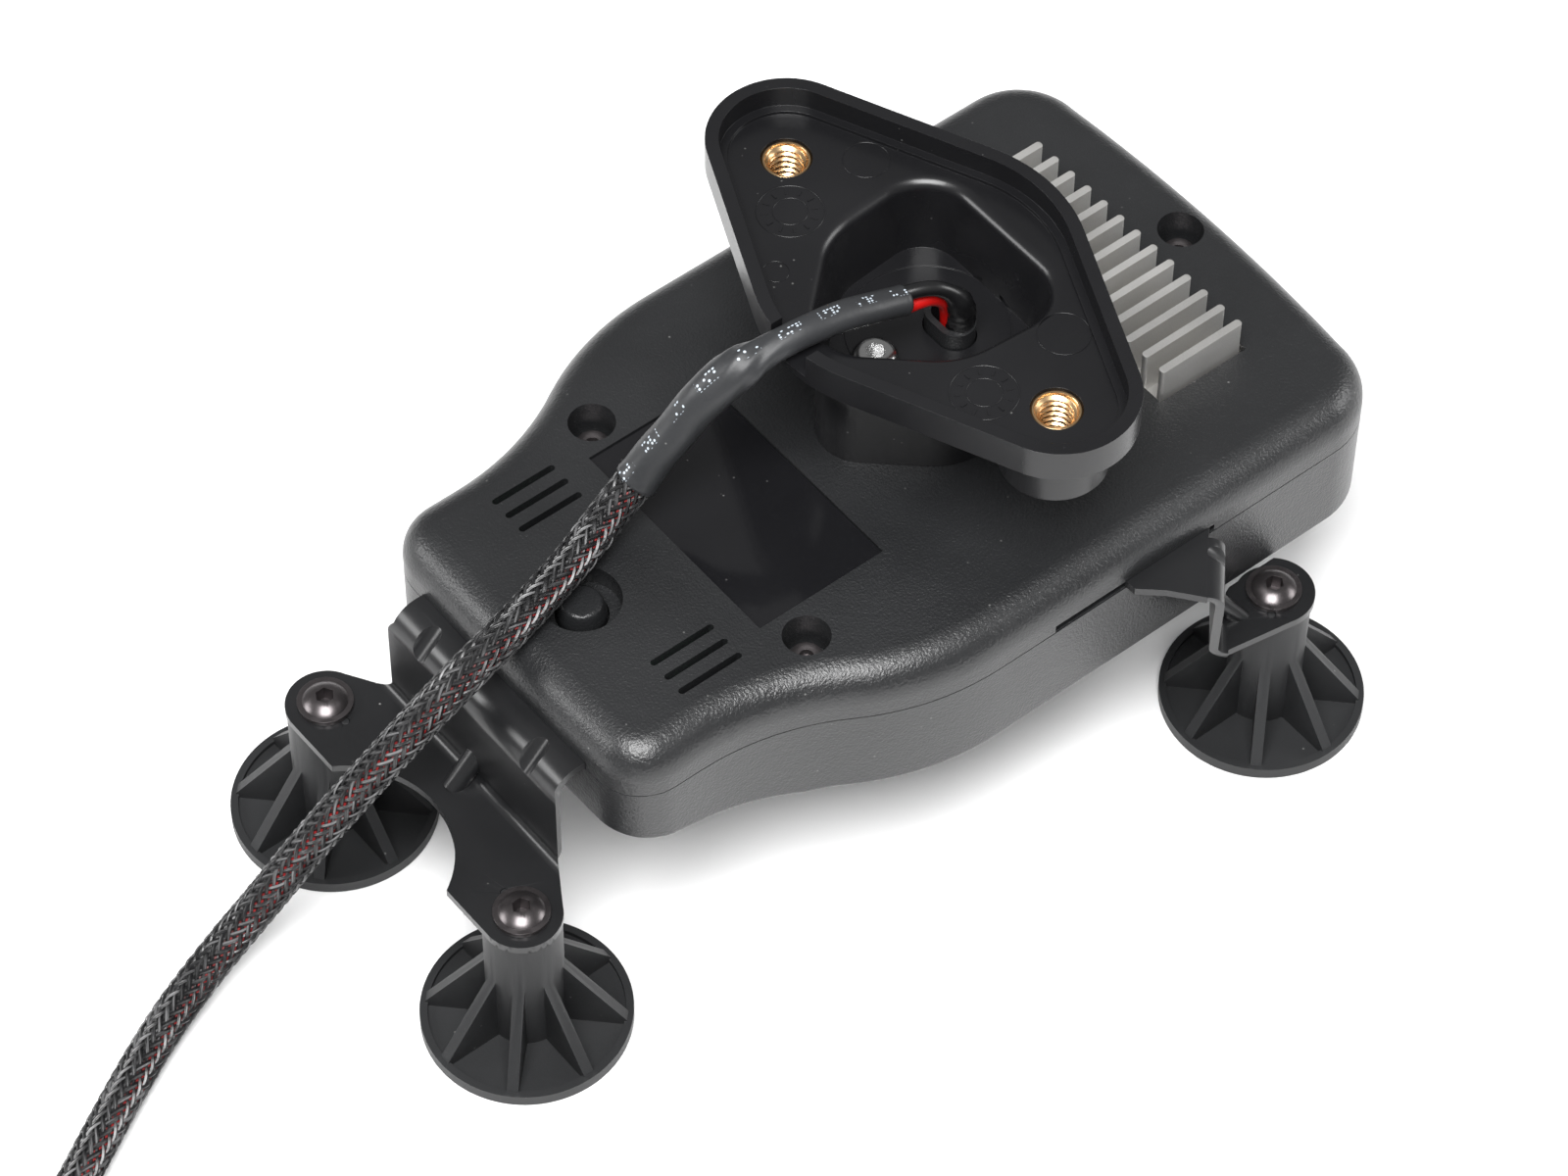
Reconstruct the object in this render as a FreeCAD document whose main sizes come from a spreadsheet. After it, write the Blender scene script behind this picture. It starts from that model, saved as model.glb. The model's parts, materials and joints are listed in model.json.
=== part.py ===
import FreeCAD, Part
import math
import os
import Sketcher

# Wall-mount sensor pod, lying face down on four screwed feet.
# Millimetres. +X runs from the narrow end to the wide finned end, +Z is up,
# z = 0 is the surface the feet stand on, and y = 0 is the plane of symmetry.

Vec = FreeCAD.Vector
os.makedirs("parts", exist_ok=True)
doc = FreeCAD.newDocument("sensor_pod")
dims = doc.addObject("Spreadsheet::Sheet", "dims")

DRIVING = {
    # housing
    "narrow_x": -58.7, "wide_x": 93.1, "narrow_half": 33.2, "wide_half": 47.2,
    "under_z": 29.3, "parting_z": 48.0, "rear_z": 57.2, "wall": 2.0,
    "flare_start_x": -44.0, "flare_end_x": 6.0, "narrow_corner": 9.0,
    "wide_corner": 13.0, "end_bow": 1.6, "top_round": 6.2, "under_round": 1.2,
    "slope_start_x": -25.6, "slope_rise": 7.6,
    # case screws
    "case_screw_x": -18.8, "case_screw_y": 28.1, "case_screw_wide_x": 85.0,
    "recess_radius": 4.0, "recess_floor": 49.7, "case_shank": 1.45, "case_head": 2.7,
    "parting_groove": 0.22,
    # vent slots
    "slot_x": -35.5, "slot_len": 12.5, "slot_wide": 1.2, "slot_first_y": 17.3,
    "slot_pitch": 3.6,
    # push button
    "button_x": -42.4, "cup_radius": 6.65, "cup_floor_z": 53.2, "cap_top": 3.0,
    "cap_skirt": 4.1, "cap_top_z": 56.7, "press": 0.8, "plunger_radius": 1.7,
    # label
    "label_x0": -23.8, "label_x1": 1.6, "label_half": 22.4, "label_depth": 0.9,
    "label_thick": 0.5,
    # heat sink
    "fin_x0": 57.8, "fin_x1": 75.3, "fin_thick": 1.4, "fin_pitch": 4.23,
    "fin_top": 63.5, "sink_base_z": 52.4, "sink_top_z": 54.9,
    # flange
    "hub_x": 26.7, "bowl_x": 28.9, "insert_half": 34.1, "end_radius": 13.4,
    "mid_radius": 27.4, "plate_z": 83.8, "floor_z": 85.3, "rim_z": 90.1,
    "rim_thick": 2.3, "gap_half": 4.4, "nose_x": 15.4,
    "nose_radius": 10.4, "side_x": 27.5, "side_y": 3.0, "side_radius": 16.4,
    "corner_x": 35.4, "corner_y": 9.0, "corner_radius": 11.0,
    "bowl_wall_top": 2.2, "bowl_wall_low": 4.2, "bowl_z": 71.7,
    "lip_round": 2.2, "ledge": 1.4, "ledge_z": 86.0,
    "bowl_under": 69.2, "boss_radius": 9.1, "boss_z": 73.4,
    "insert_radius": 4.3, "insert_bore": 2.5, "insert_len": 9.0,
    "exit_x": 31.8, "exit_y": -2.2, "exit_half_len": 4.8, "exit_half_wide": 3.3,
    "spigot_z": 75.0, "spigot_wall": 1.1,
    # brackets
    "sheet_thick": 1.5, "pad_z": 29.0, "bend": 1.6, "wide_bend": 3.5, "end_foot_x": -75.6,
    "end_foot_y": 26.7, "side_foot_x": 61.9, "side_foot_y": 52.5,
    "pad_radius": 6.7, "web_x": -65.1, "tongue_half": 21.5,
    # feet
    "disc_radius": 17.5, "disc_thick": 1.3, "rim_high": 2.2, "post_radius": 6.5,
    "rib_thick": 1.9, "rib_high": 17.5, "nut_radius": 3.0, "nut_len": 9.0,
    "foot_head": 4.7, "foot_shank": 1.95,
    # cords
    "wire_radius": 1.3, "black_y": -4.0, "red_y": -0.9, "thin_radius": 2.55, "cable_radius": 3.3,
    "coil_radius": 38.0,
}
for row, (alias, number) in enumerate(DRIVING.items(), start=1):
    dims.set("A%d" % row, alias)
    dims.set("B%d" % row, str(number))
    dims.setAlias("B%d" % row, alias)
doc.recompute()


def val(alias):
    """The number held in one cell of the sheet."""
    return float(dims.get(alias))


# Values that follow from the driving sizes.
SHEET = val("sheet_thick")
PAD_TOP = val("pad_z")
POST_TOP = PAD_TOP - SHEET
TONGUE_TOP = val("parting_z") + SHEET
REAR = val("rear_z")
PART_Z = val("parting_z")
WALL = val("wall")
ROOF_Z = REAR - 2.2
FLOOR_Z = val("under_z") + 2.2
BOARD_Z = PART_Z - 4.0
BOARD_THICK = 1.6
BOARD_TOP = BOARD_Z + BOARD_THICK
NODES = []


def node(label, shape):
    """A sub-part whose shape comes from Part's own functions."""
    piece = doc.addObject("Part::Feature", label)
    piece.Shape = shape
    piece.Placement = FreeCAD.Placement()
    piece.Label = label
    NODES.append(piece)
    return piece


def keep(label, piece):
    """Names a finished object as a sub-part."""
    piece.Label = label
    NODES.append(piece)
    return piece


def term(item):
    """A size given as a number, an alias, or (alias, factor, offset)."""
    if isinstance(item, str):
        return val(item), "dims." + item
    if isinstance(item, tuple):
        alias, factor, offset = item
        number = val(alias) * factor + offset
        return number, "dims.%s * (%s) + (%s)" % (alias, factor, offset)
    return float(item), None


def cyl(x, y, z0, z1, radius):
    return Part.makeCylinder(radius, z1 - z0, Vec(x, y, z0))


def box(x0, x1, y0, y1, z0, z1):
    return Part.makeBox(x1 - x0, y1 - y0, z1 - z0, Vec(x0, y0, z0))


def prism(points, z0, z1):
    """A straight-sided block on a flat outline."""
    ring = [Vec(x, y, z0) for x, y in points]
    face = Part.Face(Part.makePolygon(ring + ring[:1]))
    return face.extrude(Vec(0, 0, z1 - z0))


def obround(x, y, half_len, half_wide, z0, z1, along_y=False):
    """A block with two round ends, lying along X or along Y."""
    straight = half_len - half_wide
    if along_y:
        a, b = (x, y - straight), (x, y + straight)
        mid = box(x - half_wide, x + half_wide, y - straight, y + straight, z0, z1)
    else:
        a, b = (x - straight, y), (x + straight, y)
        mid = box(x - straight, x + straight, y - half_wide, y + half_wide, z0, z1)
    ends = [cyl(a[0], a[1], z0, z1, half_wide), cyl(b[0], b[1], z0, z1, half_wide)]
    return mid.fuse(ends).removeSplitter()


def band(circles, z0):
    """A level wire: a band pulled tight round circles given as (x, y, radius)."""
    ring = []
    count = len(circles)
    for i in range(count):
        xa, ya, ra = circles[i]
        xb, yb, rb = circles[(i + 1) % count]
        span = math.hypot(xb - xa, yb - ya)
        along = math.atan2(yb - ya, xb - xa)
        lean = math.acos((ra - rb) / span)
        turn = along - lean
        ring.append((Vec(xa + ra * math.cos(turn), ya + ra * math.sin(turn), z0),
                     Vec(xb + rb * math.cos(turn), yb + rb * math.sin(turn), z0)))
    edges = []
    for i in range(count):
        xa, ya, ra = circles[i]
        into = ring[i - 1][1]
        out = ring[i][0]
        a0 = math.atan2(into.y - ya, into.x - xa)
        a1 = math.atan2(out.y - ya, out.x - xa)
        while a1 < a0:
            a1 += 2 * math.pi
        mid = (a0 + a1) / 2
        bend = Vec(xa + ra * math.cos(mid), ya + ra * math.sin(mid), z0)
        edges.append(Part.Arc(into, bend, out).toShape())
        edges.append(Part.LineSegment(ring[i][0], ring[i][1]).toShape())
    return Part.Wire(Part.__sortEdges__(edges))


def hex_socket(x, y, radius, z0, z1):
    """The six-sided recess of a socket screw."""
    turns = [math.radians(60 * k) for k in range(6)]
    return prism([(x + radius * math.cos(a), y + radius * math.sin(a)) for a in turns], z0, z1)


def taut_hull(circles, z0, z1):
    """A block on the outline of a band pulled tight round circles."""
    return Part.Face(band(circles, z0)).extrude(Vec(0, 0, z1 - z0))


def revolve_body(label, profile, x=0.0, y=0.0, z=0.0, register=True):
    """A turned piece: a closed (radius, height) profile spun about the vertical axis."""
    body = doc.addObject("PartDesign::Body", label + "_body")
    sketch = body.newObject("Sketcher::SketchObject", label + "_profile")
    plane = [o for o in body.Origin.OriginFeatures if o.Role == "XZ_Plane"][0]
    sketch.AttachmentSupport = [(plane, "")]
    sketch.MapMode = "FlatFace"
    numbers = [(term(r), term(h)) for r, h in profile]
    points = [Vec(r[0], h[0], 0) for r, h in numbers]
    total = len(points)
    for i in range(total):
        sketch.addGeometry(Part.LineSegment(points[i], points[(i + 1) % total]), False)
    for i in range(total):
        sketch.addConstraint(Sketcher.Constraint("Coincident", i, 2, (i + 1) % total, 1))
    for i, pair in enumerate(numbers):
        for kind, (number, source) in zip(("DistanceX", "DistanceY"), pair):
            if abs(number) < 1e-9:
                axis = -2 if kind == "DistanceX" else -1
                sketch.addConstraint(Sketcher.Constraint("PointOnObject", i, 1, axis))
                continue
            index = sketch.addConstraint(Sketcher.Constraint(kind, -1, 1, i, 1, number))
            if source:
                sketch.setExpression("Constraints[%d]" % index, source)
    turned = body.newObject("PartDesign::Revolution", label + "_turn")
    turned.Profile = sketch
    turned.ReferenceAxis = (sketch, ["V_Axis"])
    turned.Angle = 360.0
    doc.recompute()
    body.Tip = turned
    body.Placement = FreeCAD.Placement(Vec(x, y, z), FreeCAD.Rotation())
    doc.recompute()
    if register:
        keep(label, body)
    return body


# ---------------------------------------------------------------- housing outline
def outline(z, inset=0.0):
    """The housing's plan outline at one height, drawn a distance inside the wall."""
    n, w = val("narrow_half") - inset, val("wide_half") - inset
    xa, xb = val("narrow_x") + inset, val("wide_x") - inset
    s0, s1 = val("flare_start_x"), val("flare_end_x")
    rise = w - n
    half = 2 * math.atan2(rise, s1 - s0)
    bend = (s1 - s0) / (2 * math.sin(half))
    rc = max(val("narrow_corner") - inset, 2.0)
    rw = max(val("wide_corner") - inset, 2.0)
    bow = val("end_bow")

    def p(x, y):
        return Vec(x, y, z)

    def corner(cx, cy, radius, a0, a1):
        am = (a0 + a1) / 2
        return [p(cx + radius * math.cos(a), cy + radius * math.sin(a)) for a in (a0, am, a1)]

    mid = p((s0 + s1) / 2, (n + w) / 2)
    c1 = Vec(s0, n + bend, z)
    c2 = Vec(s1, w - bend, z)
    m1 = p(c1.x + bend * math.sin(half / 2), c1.y - bend * math.cos(half / 2))
    m2 = p(c2.x - bend * math.sin(half / 2), c2.y + bend * math.cos(half / 2))
    nc = corner(xa + 0.4 + rc, n - rc, rc, math.pi, math.pi / 2)
    wc = corner(xb - bow - rw, w - rw, rw, math.pi / 2, 0.0)
    wc[2] = p(xb - bow, w - rw)
    arcs = [
        (nc[0], nc[1], nc[2]),
        (nc[2], None, p(s0, n)),
        (p(s0, n), m1, mid),
        (mid, m2, p(s1, w)),
        (p(s1, w), None, wc[0]),
        (wc[0], wc[1], wc[2]),
    ]
    edges = []
    for sign in (1, -1):
        for a, m, b in arcs:
            a2, b2 = Vec(a.x, sign * a.y, z), Vec(b.x, sign * b.y, z)
            if m is None:
                edges.append(Part.LineSegment(a2, b2).toShape())
            else:
                edges.append(Part.Arc(a2, Vec(m.x, sign * m.y, z), b2).toShape())
    edges.append(Part.Arc(Vec(nc[0].x, nc[0].y, z), Vec(xa, 0, z), Vec(nc[0].x, -nc[0].y, z)).toShape())
    edges.append(Part.Arc(Vec(wc[2].x, wc[2].y, z), Vec(xb, 0, z), Vec(wc[2].x, -wc[2].y, z)).toShape())
    return Part.Wire(Part.__sortEdges__(edges))


def block(z0, z1, inset=0.0):
    return Part.Face(outline(z0, inset)).extrude(Vec(0, 0, z1 - z0))


def round_level(solid, level, radius):
    """Rounds every edge that lies flat at one height."""
    chosen = []
    for edge in solid.Edges:
        limits = edge.BoundBox
        if abs(limits.ZMin - level) < 1e-4 and abs(limits.ZMax - level) < 1e-4:
            chosen.append(edge)
    return solid.makeFillet(radius, chosen)


CASE_SCREWS = [
    (val("case_screw_x"), val("case_screw_y")),
    (val("case_screw_x"), -val("case_screw_y")),
    (val("case_screw_wide_x"), 0.0),
]
SINK_SCREWS = [(66.5, 30.2), (66.5, -30.2)]
FLANGE_SCREWS = [(17.9, 0.0)]
PEGS = [(-53.4, 12.0), (-53.4, -12.0), (36.5, 42.2), (46.5, 42.2), (36.5, -42.2), (46.5, -42.2)]
button_x = val("button_x")
hub_x = val("hub_x")
bowl_x = val("bowl_x")
exit_x = val("exit_x")
exit_y = val("exit_y")
WIRE_YS = (val("black_y"), val("red_y"))

# ---------------------------------------------------------------- rear shell
outer = round_level(block(PART_Z, REAR), REAR, val("top_round"))
inner = round_level(block(PART_Z - 1, ROOF_Z, WALL), ROOF_Z, val("top_round") - WALL)
rear = outer.cut(inner)
adds = [cyl(x, y, PART_Z, REAR, 5.4).common(outer) for x, y in CASE_SCREWS]
adds.append(cyl(button_x, 0, val("cup_floor_z") - 1.5, REAR - 1, val("cup_radius") + 1.1))
for x, y in SINK_SCREWS:
    adds.append(cyl(x, y, val("sink_base_z"), REAR - 1, 3.0))
for x, y in FLANGE_SCREWS:
    adds.append(cyl(x, y, REAR - 1, val("bowl_under"), 2.9))
adds.append(obround(exit_x, exit_y, val("exit_half_len"), val("exit_half_wide"),
                    REAR - 1, val("spigot_z"), along_y=True))
label_mid = (val("label_x0") + val("label_x1")) / 2
adds.append(box(val("label_x0") - 1.5, val("label_x1") + 1.5, -val("label_half") - 1.5,
                val("label_half") + 1.5, ROOF_Z - 0.9, ROOF_Z + 0.5))
rear = rear.fuse(adds)
cuts = []
for x, y in CASE_SCREWS:
    cuts.append(cyl(x, y, val("recess_floor"), REAR + 1, val("recess_radius")))
    cuts.append(cyl(x, y, PART_Z - 1, 52.0, val("case_shank") + 0.15))
for side in (1, -1):
    for k in range(3):
        y = side * (val("slot_first_y") + k * val("slot_pitch"))
        cuts.append(obround(val("slot_x"), y, val("slot_len") / 2, val("slot_wide") / 2,
                            ROOF_Z - 1, REAR + 1))
cuts.append(cyl(button_x, 0, val("cup_floor_z"), REAR + 1, val("cup_radius")))
cuts.append(cyl(button_x, 0, 50.0, REAR, val("cap_skirt") + 0.35))
cuts.append(box(val("label_x0"), val("label_x1"), -val("label_half"), val("label_half"),
                REAR - val("label_depth"), REAR + 1))
cuts.append(box(val("fin_x0") - 0.6, val("fin_x1") + 0.6, -26.7, 26.7, ROOF_Z - 1, REAR + 1))
for x, y in SINK_SCREWS:
    cuts.append(cyl(x, y, 51.0, 55.6, 1.15))
for x, y in FLANGE_SCREWS:
    cuts.append(cyl(x, y, 57.6, 70.0, 1.25))
bore_len = val("exit_half_len") - val("spigot_wall")
bore_wide = val("exit_half_wide") - val("spigot_wall")
cuts.append(obround(exit_x, exit_y, bore_len, bore_wide, ROOF_Z - 2, val("spigot_z") + 1, along_y=True))
slot_top = TONGUE_TOP + 0.08
cuts.append(box(17.5, 51.6, 40.0, 50.0, PART_Z - 1, slot_top))
cuts.append(box(17.5, 51.6, -50.0, -40.0, PART_Z - 1, slot_top))
cuts.append(box(-62.0, -52.0, -val("tongue_half") - 0.2, val("tongue_half") + 0.2,
                PART_Z - 1, slot_top))
rear = rear.cut(cuts).removeSplitter()
node("rear_shell", rear)

# ---------------------------------------------------------------- front shell
def slope_cut(lift):
    """The wedge that thins the narrow end from below, raised by a lift."""
    x0, x1 = val("slope_start_x"), val("narrow_x")
    z0, z1 = val("under_z") + lift, val("under_z") + val("slope_rise") + lift
    per = (z1 - z0) / (x0 - x1)
    far = x1 - 12.0
    ring = [Vec(x0, -80, z0), Vec(far, -80, z0 + per * (x0 - far)), Vec(far, -80, 10), Vec(x0, -80, 10)]
    face = Part.Face(Part.makePolygon(ring + ring[:1]))
    return face.extrude(Vec(0, 160, 0))


outer = block(val("under_z"), PART_Z).cut(slope_cut(0.0))
low = [e for e in outer.Edges if e.BoundBox.ZMax < val("under_z") + val("slope_rise") + 0.6
       and not (abs(e.BoundBox.XMax - val("slope_start_x")) < 0.01 and e.BoundBox.XLength < 0.01)]
outer = outer.makeFillet(val("under_round"), low)
groove = val("parting_groove")
outer = outer.cut(block(PART_Z - groove, PART_Z + 1).cut(block(PART_Z - 1, PART_Z + 2, groove)))
inner = block(FLOOR_Z, PART_Z + 1, WALL).cut(slope_cut(2.3))
front = outer.cut(inner)
adds = [cyl(x, y, FLOOR_Z - 1, PART_Z, 4.2).common(outer) for x, y in CASE_SCREWS]
POSTS = [(-12.0, 34.0), (-12.0, -34.0), (72.0, 38.0), (72.0, -38.0)]
for x, y in POSTS:
    adds.append(cyl(x, y, FLOOR_Z - 1, BOARD_Z, 3.0))
for x, y in PEGS:
    adds.append(cyl(x, y, FLOOR_Z, PART_Z, 2.6).common(outer))
    adds.append(cyl(x, y, PART_Z - 1, TONGUE_TOP - 0.1, 1.4))
for side in (1, -1):
    adds.append(box(17.5, 51.6, min(side * 39.6, side * 46.5), max(side * 39.6, side * 46.5),
                    PART_Z - 2, PART_Z).common(outer))
adds.append(box(-58.0, -50.2, -22.5, 22.5, PART_Z - 2, PART_Z).common(outer))
front = front.fuse(adds)
cuts = [cyl(x, y, 36.0, PART_Z + 1, val("case_shank")) for x, y in CASE_SCREWS]
cuts += [cyl(x, y, 34.0, BOARD_Z + 1, 1.0) for x, y in POSTS]
front = front.cut(cuts).removeSplitter()
node("front_shell", front)

# ---------------------------------------------------------------- board and what it carries
board = block(BOARD_Z, BOARD_TOP, 4.6)
holes = [cyl(x, y, BOARD_Z - 1, BOARD_TOP + 1, 4.5) for x, y in CASE_SCREWS]
holes += [cyl(x, y, BOARD_Z - 1, BOARD_TOP + 1, 1.2) for x, y in POSTS]
holes += [cyl(x, y, BOARD_Z - 1, BOARD_TOP + 1, 3.0) for x, y in PEGS]
node("circuit_board", board.cut(holes))
screws = []
for x, y in POSTS:
    screws.append(cyl(x, y, BOARD_TOP, BOARD_TOP + 1.4, 2.1).fuse(cyl(x, y, 36.0, BOARD_TOP, 0.97)))
node("board_screws", Part.makeCompound(screws))
chip = doc.addObject("Part::Box", "power_chip_block")
chip.Length, chip.Width, chip.Height = 18.0, 18.0, 2.0
chip.Placement.Base = Vec(57.5, -9.0, BOARD_TOP)
keep("power_chip", chip)
pad = doc.addObject("Part::Box", "thermal_pad_block")
pad.Length, pad.Width, pad.Height = 18.0, 18.0, 0.5
pad.Placement.Base = Vec(57.5, -9.0, BOARD_TOP + 2.0)
keep("thermal_pad", pad)
switch = box(button_x - 3.1, button_x + 3.1, -3.1, 3.1, BOARD_TOP, BOARD_TOP + 3.5)
switch = switch.cut(cyl(button_x, 0, BOARD_TOP + 1.0, BOARD_TOP + 5, val("plunger_radius") + 0.06))
node("switch_case", switch)
terminal = box(exit_x - 4.0, exit_x + 4.0, -6.5, 6.5, BOARD_TOP, BOARD_TOP + 5.0)
node("terminal_block", terminal)
leads = [cyl(exit_x, y, BOARD_TOP + 5.0, 57.9, val("wire_radius")) for y in WIRE_YS]
node("inner_leads", Part.makeCompound(leads))

# ---------------------------------------------------------------- push button
revolve_body("switch_plunger", [
    (0, ("parting_z", 1, -0.55)), ("plunger_radius", ("parting_z", 1, -0.55)),
    ("plunger_radius", ("parting_z", 1, 2.4)), (0, ("parting_z", 1, 2.4)),
], x=button_x)
revolve_body("button_cap", [
    (0, ("parting_z", 1, 2.4)), (("cap_skirt", 1, 1.2), ("parting_z", 1, 2.4)),
    (("cap_skirt", 1, 1.2), ("parting_z", 1, 3.5)), ("cap_skirt", ("parting_z", 1, 3.5)),
    ("cap_skirt", ("cap_top_z", 1, -2.6)), (("cap_skirt", 1, -0.35), ("cap_top_z", 1, -1.2)),
    (("cap_top", 1, 0.35), ("cap_top_z", 1, -0.25)), (("cap_top", 1, -0.1), "cap_top_z"),
    (0, "cap_top_z"),
], x=button_x)

# ---------------------------------------------------------------- case screws, label
screws = []
for x, y in CASE_SCREWS:
    z = val("recess_floor")
    head = cyl(x, y, z, z + 2.2, val("case_head")).cut(cyl(x, y, z + 1.0, z + 3.0, 1.2))
    screws.append(head.fuse(cyl(x, y, 38.0, z, val("case_shank") - 0.03)))
node("case_screws", Part.makeCompound(screws))
label = doc.addObject("Part::Box", "label_block")
label.setExpression("Length", "dims.label_x1 - dims.label_x0 - 0.2")
label.setExpression("Width", "2 * dims.label_half - 0.2")
label.setExpression("Height", "dims.label_thick")
label.setExpression(".Placement.Base.x", "dims.label_x0 + 0.1")
label.setExpression(".Placement.Base.y", "-dims.label_half + 0.1")
label.setExpression(".Placement.Base.z", "dims.rear_z - dims.label_depth")
keep("label_plate", label)

# ---------------------------------------------------------------- heat sink
x0, x1 = val("fin_x0"), val("fin_x1")
sink = box(x0 - 3.5, x1 + 3.5, -34.2, 34.2, val("sink_base_z"), val("sink_top_z"))
sink = sink.cut([cyl(x, y, 50, 56, 3.1) for x, y in SINK_SCREWS])
fins = []
for k in range(13):
    y = (k - 6) * val("fin_pitch")
    fin = box(x0, x1, y - val("fin_thick") / 2, y + val("fin_thick") / 2,
              val("sink_top_z") - 1.0, val("fin_top"))
    upright = [e for e in fin.Edges if e.BoundBox.ZLength > 5]
    fins.append(fin.makeFillet(0.6, upright))
fins.append(box(57.5, 75.5, -9.0, 9.0, BOARD_TOP + 2.5, val("sink_base_z") + 0.5))
node("heat_sink", sink.fuse(fins).removeSplitter())
screws = []
for x, y in SINK_SCREWS:
    low_z = val("sink_base_z")
    screws.append(cyl(x, y, low_z - 1.5, low_z, 4.2).fuse(cyl(x, y, low_z, low_z + 2.9, 1.12)))
node("heat_sink_screws", Part.makeCompound(screws))

# ---------------------------------------------------------------- mounting flange
ends = val("insert_half")


def rhombus(inset, z0, z1):
    """The flange's outline: a large middle circle drawn out to two small ones."""
    r_end, r_mid = val("end_radius") - inset, val("mid_radius") - inset
    ring = [(hub_x, -ends, r_end), (hub_x, 0.0, r_mid), (hub_x, ends, r_end), (hub_x, 0.0, r_mid)]
    return taut_hull(ring, z0, z1)


def hollow(inset, z):
    """The hub's outline at one height: a nose toward -X, full sides and two far corners."""
    nose = (val("nose_x"), 0, val("nose_radius") - inset)
    near = (val("side_x"), -val("side_y"), val("side_radius") - inset)
    far = (val("side_x"), val("side_y"), val("side_radius") - inset)
    corners = [(val("corner_x"), s * val("corner_y"), val("corner_radius") - inset) for s in (-1, 1)]
    return band([nose, near] + corners + [far], z)


plate = rhombus(0.0, val("plate_z"), val("rim_z"))
pocket = rhombus(val("rim_thick"), val("ledge_z"), val("rim_z") + 1)
deep = rhombus(val("rim_thick") + val("ledge"), val("floor_z"), val("rim_z") + 1)
flare_z = val("bowl_z") - 1.5
hub = Part.Face(hollow(2.6, REAR)).extrude(Vec(0, 0, flare_z - REAR))
flare = Part.makeLoft([hollow(2.6, flare_z), hollow(0.0, val("plate_z") + 0.5)], True, True)
bosses = [cyl(hub_x, s * ends, val("boss_z"), val("plate_z") + 0.5, val("boss_radius")) for s in (1, -1)]
gussets = [box(hub_x + 2.0, hub_x + 4.2, min(s * 15, s * 27), max(s * 15, s * 27), 80.5, 84.0) for s in (1, -1)]
flange = plate.cut([pocket, deep]).fuse([hub, flare] + bosses + gussets)
mouth_z = val("floor_z") + 0.01
bowl = Part.makeLoft([hollow(val("bowl_wall_low"), val("bowl_z")),
                      hollow(val("bowl_wall_top"), mouth_z)], True, True)
ring_groove = cyl(bowl_x, 0, val("bowl_z") - 0.2, val("bowl_z") + 1, 13.9)
ring_groove = ring_groove.cut(cyl(bowl_x, 0, val("bowl_z") - 1, val("bowl_z") + 2, 13.6))
under = Part.Face(hollow(4.7, REAR - 1)).extrude(Vec(0, 0, val("bowl_under") - REAR + 1))
cuts = [bowl, under, ring_groove]
cuts.append(obround(exit_x, exit_y, val("exit_half_len") + 0.2, val("exit_half_wide") + 0.2,
                    60.0, 75.0, along_y=True))
cuts += [cyl(x, y, 60.0, 75.0, 1.9) for x, y in FLANGE_SCREWS]
cuts.append(box(hub_x - 30, hub_x - 20, -val("gap_half"), val("gap_half"), val("floor_z"), 95.0))
for s in (1, -1):
    cuts.append(cyl(hub_x, s * ends, val("floor_z") - val("insert_len") - 0.6, 95.0, val("insert_radius")))
flange = flange.cut(cuts).removeSplitter()
lip = []
for edge in flange.Edges:
    limits = edge.BoundBox
    flat = abs(limits.ZMin - val("floor_z")) < 1e-3 and abs(limits.ZMax - val("floor_z")) < 1e-3
    if flat and limits.YMax < 18.5 and limits.YMin > -18.5 and limits.XMin > 5.0 and limits.XMax < 47.0:
        lip.append(edge)
flange = flange.makeFillet(val("lip_round"), lip)
node("mounting_flange", flange)

inserts = []
for s in (1, -1):
    tube = cyl(hub_x, s * ends, val("floor_z") - val("insert_len") - 0.5, val("floor_z") - 0.4,
               val("insert_radius") - 0.01)
    tube = tube.cut(cyl(hub_x, s * ends, 60, 95, val("insert_bore")))
    inserts.append(tube)
node("flange_inserts", Part.makeCompound(inserts))
screws = []
for x, y in FLANGE_SCREWS:
    z = val("bowl_z")
    head = cyl(x, y, z, z + 2.7, 4.0)
    head = head.makeFillet(1.9, [e for e in head.Edges if e.BoundBox.ZMin > z + 2.6])
    head = head.cut(hex_socket(x, y, 1.75, z + 0.7, z + 4))
    screws.append(head.fuse(cyl(x, y, 60.0, z, 1.22)))
node("flange_screws", Part.makeCompound(screws))
plug = obround(exit_x, exit_y, bore_len - 0.02, bore_wide - 0.02, 60.5, 65.5, along_y=True)
plug = plug.cut([cyl(exit_x, y, 55, 75, val("wire_radius") + 0.03) for y in WIRE_YS])
node("cable_grommet", plug)

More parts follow.
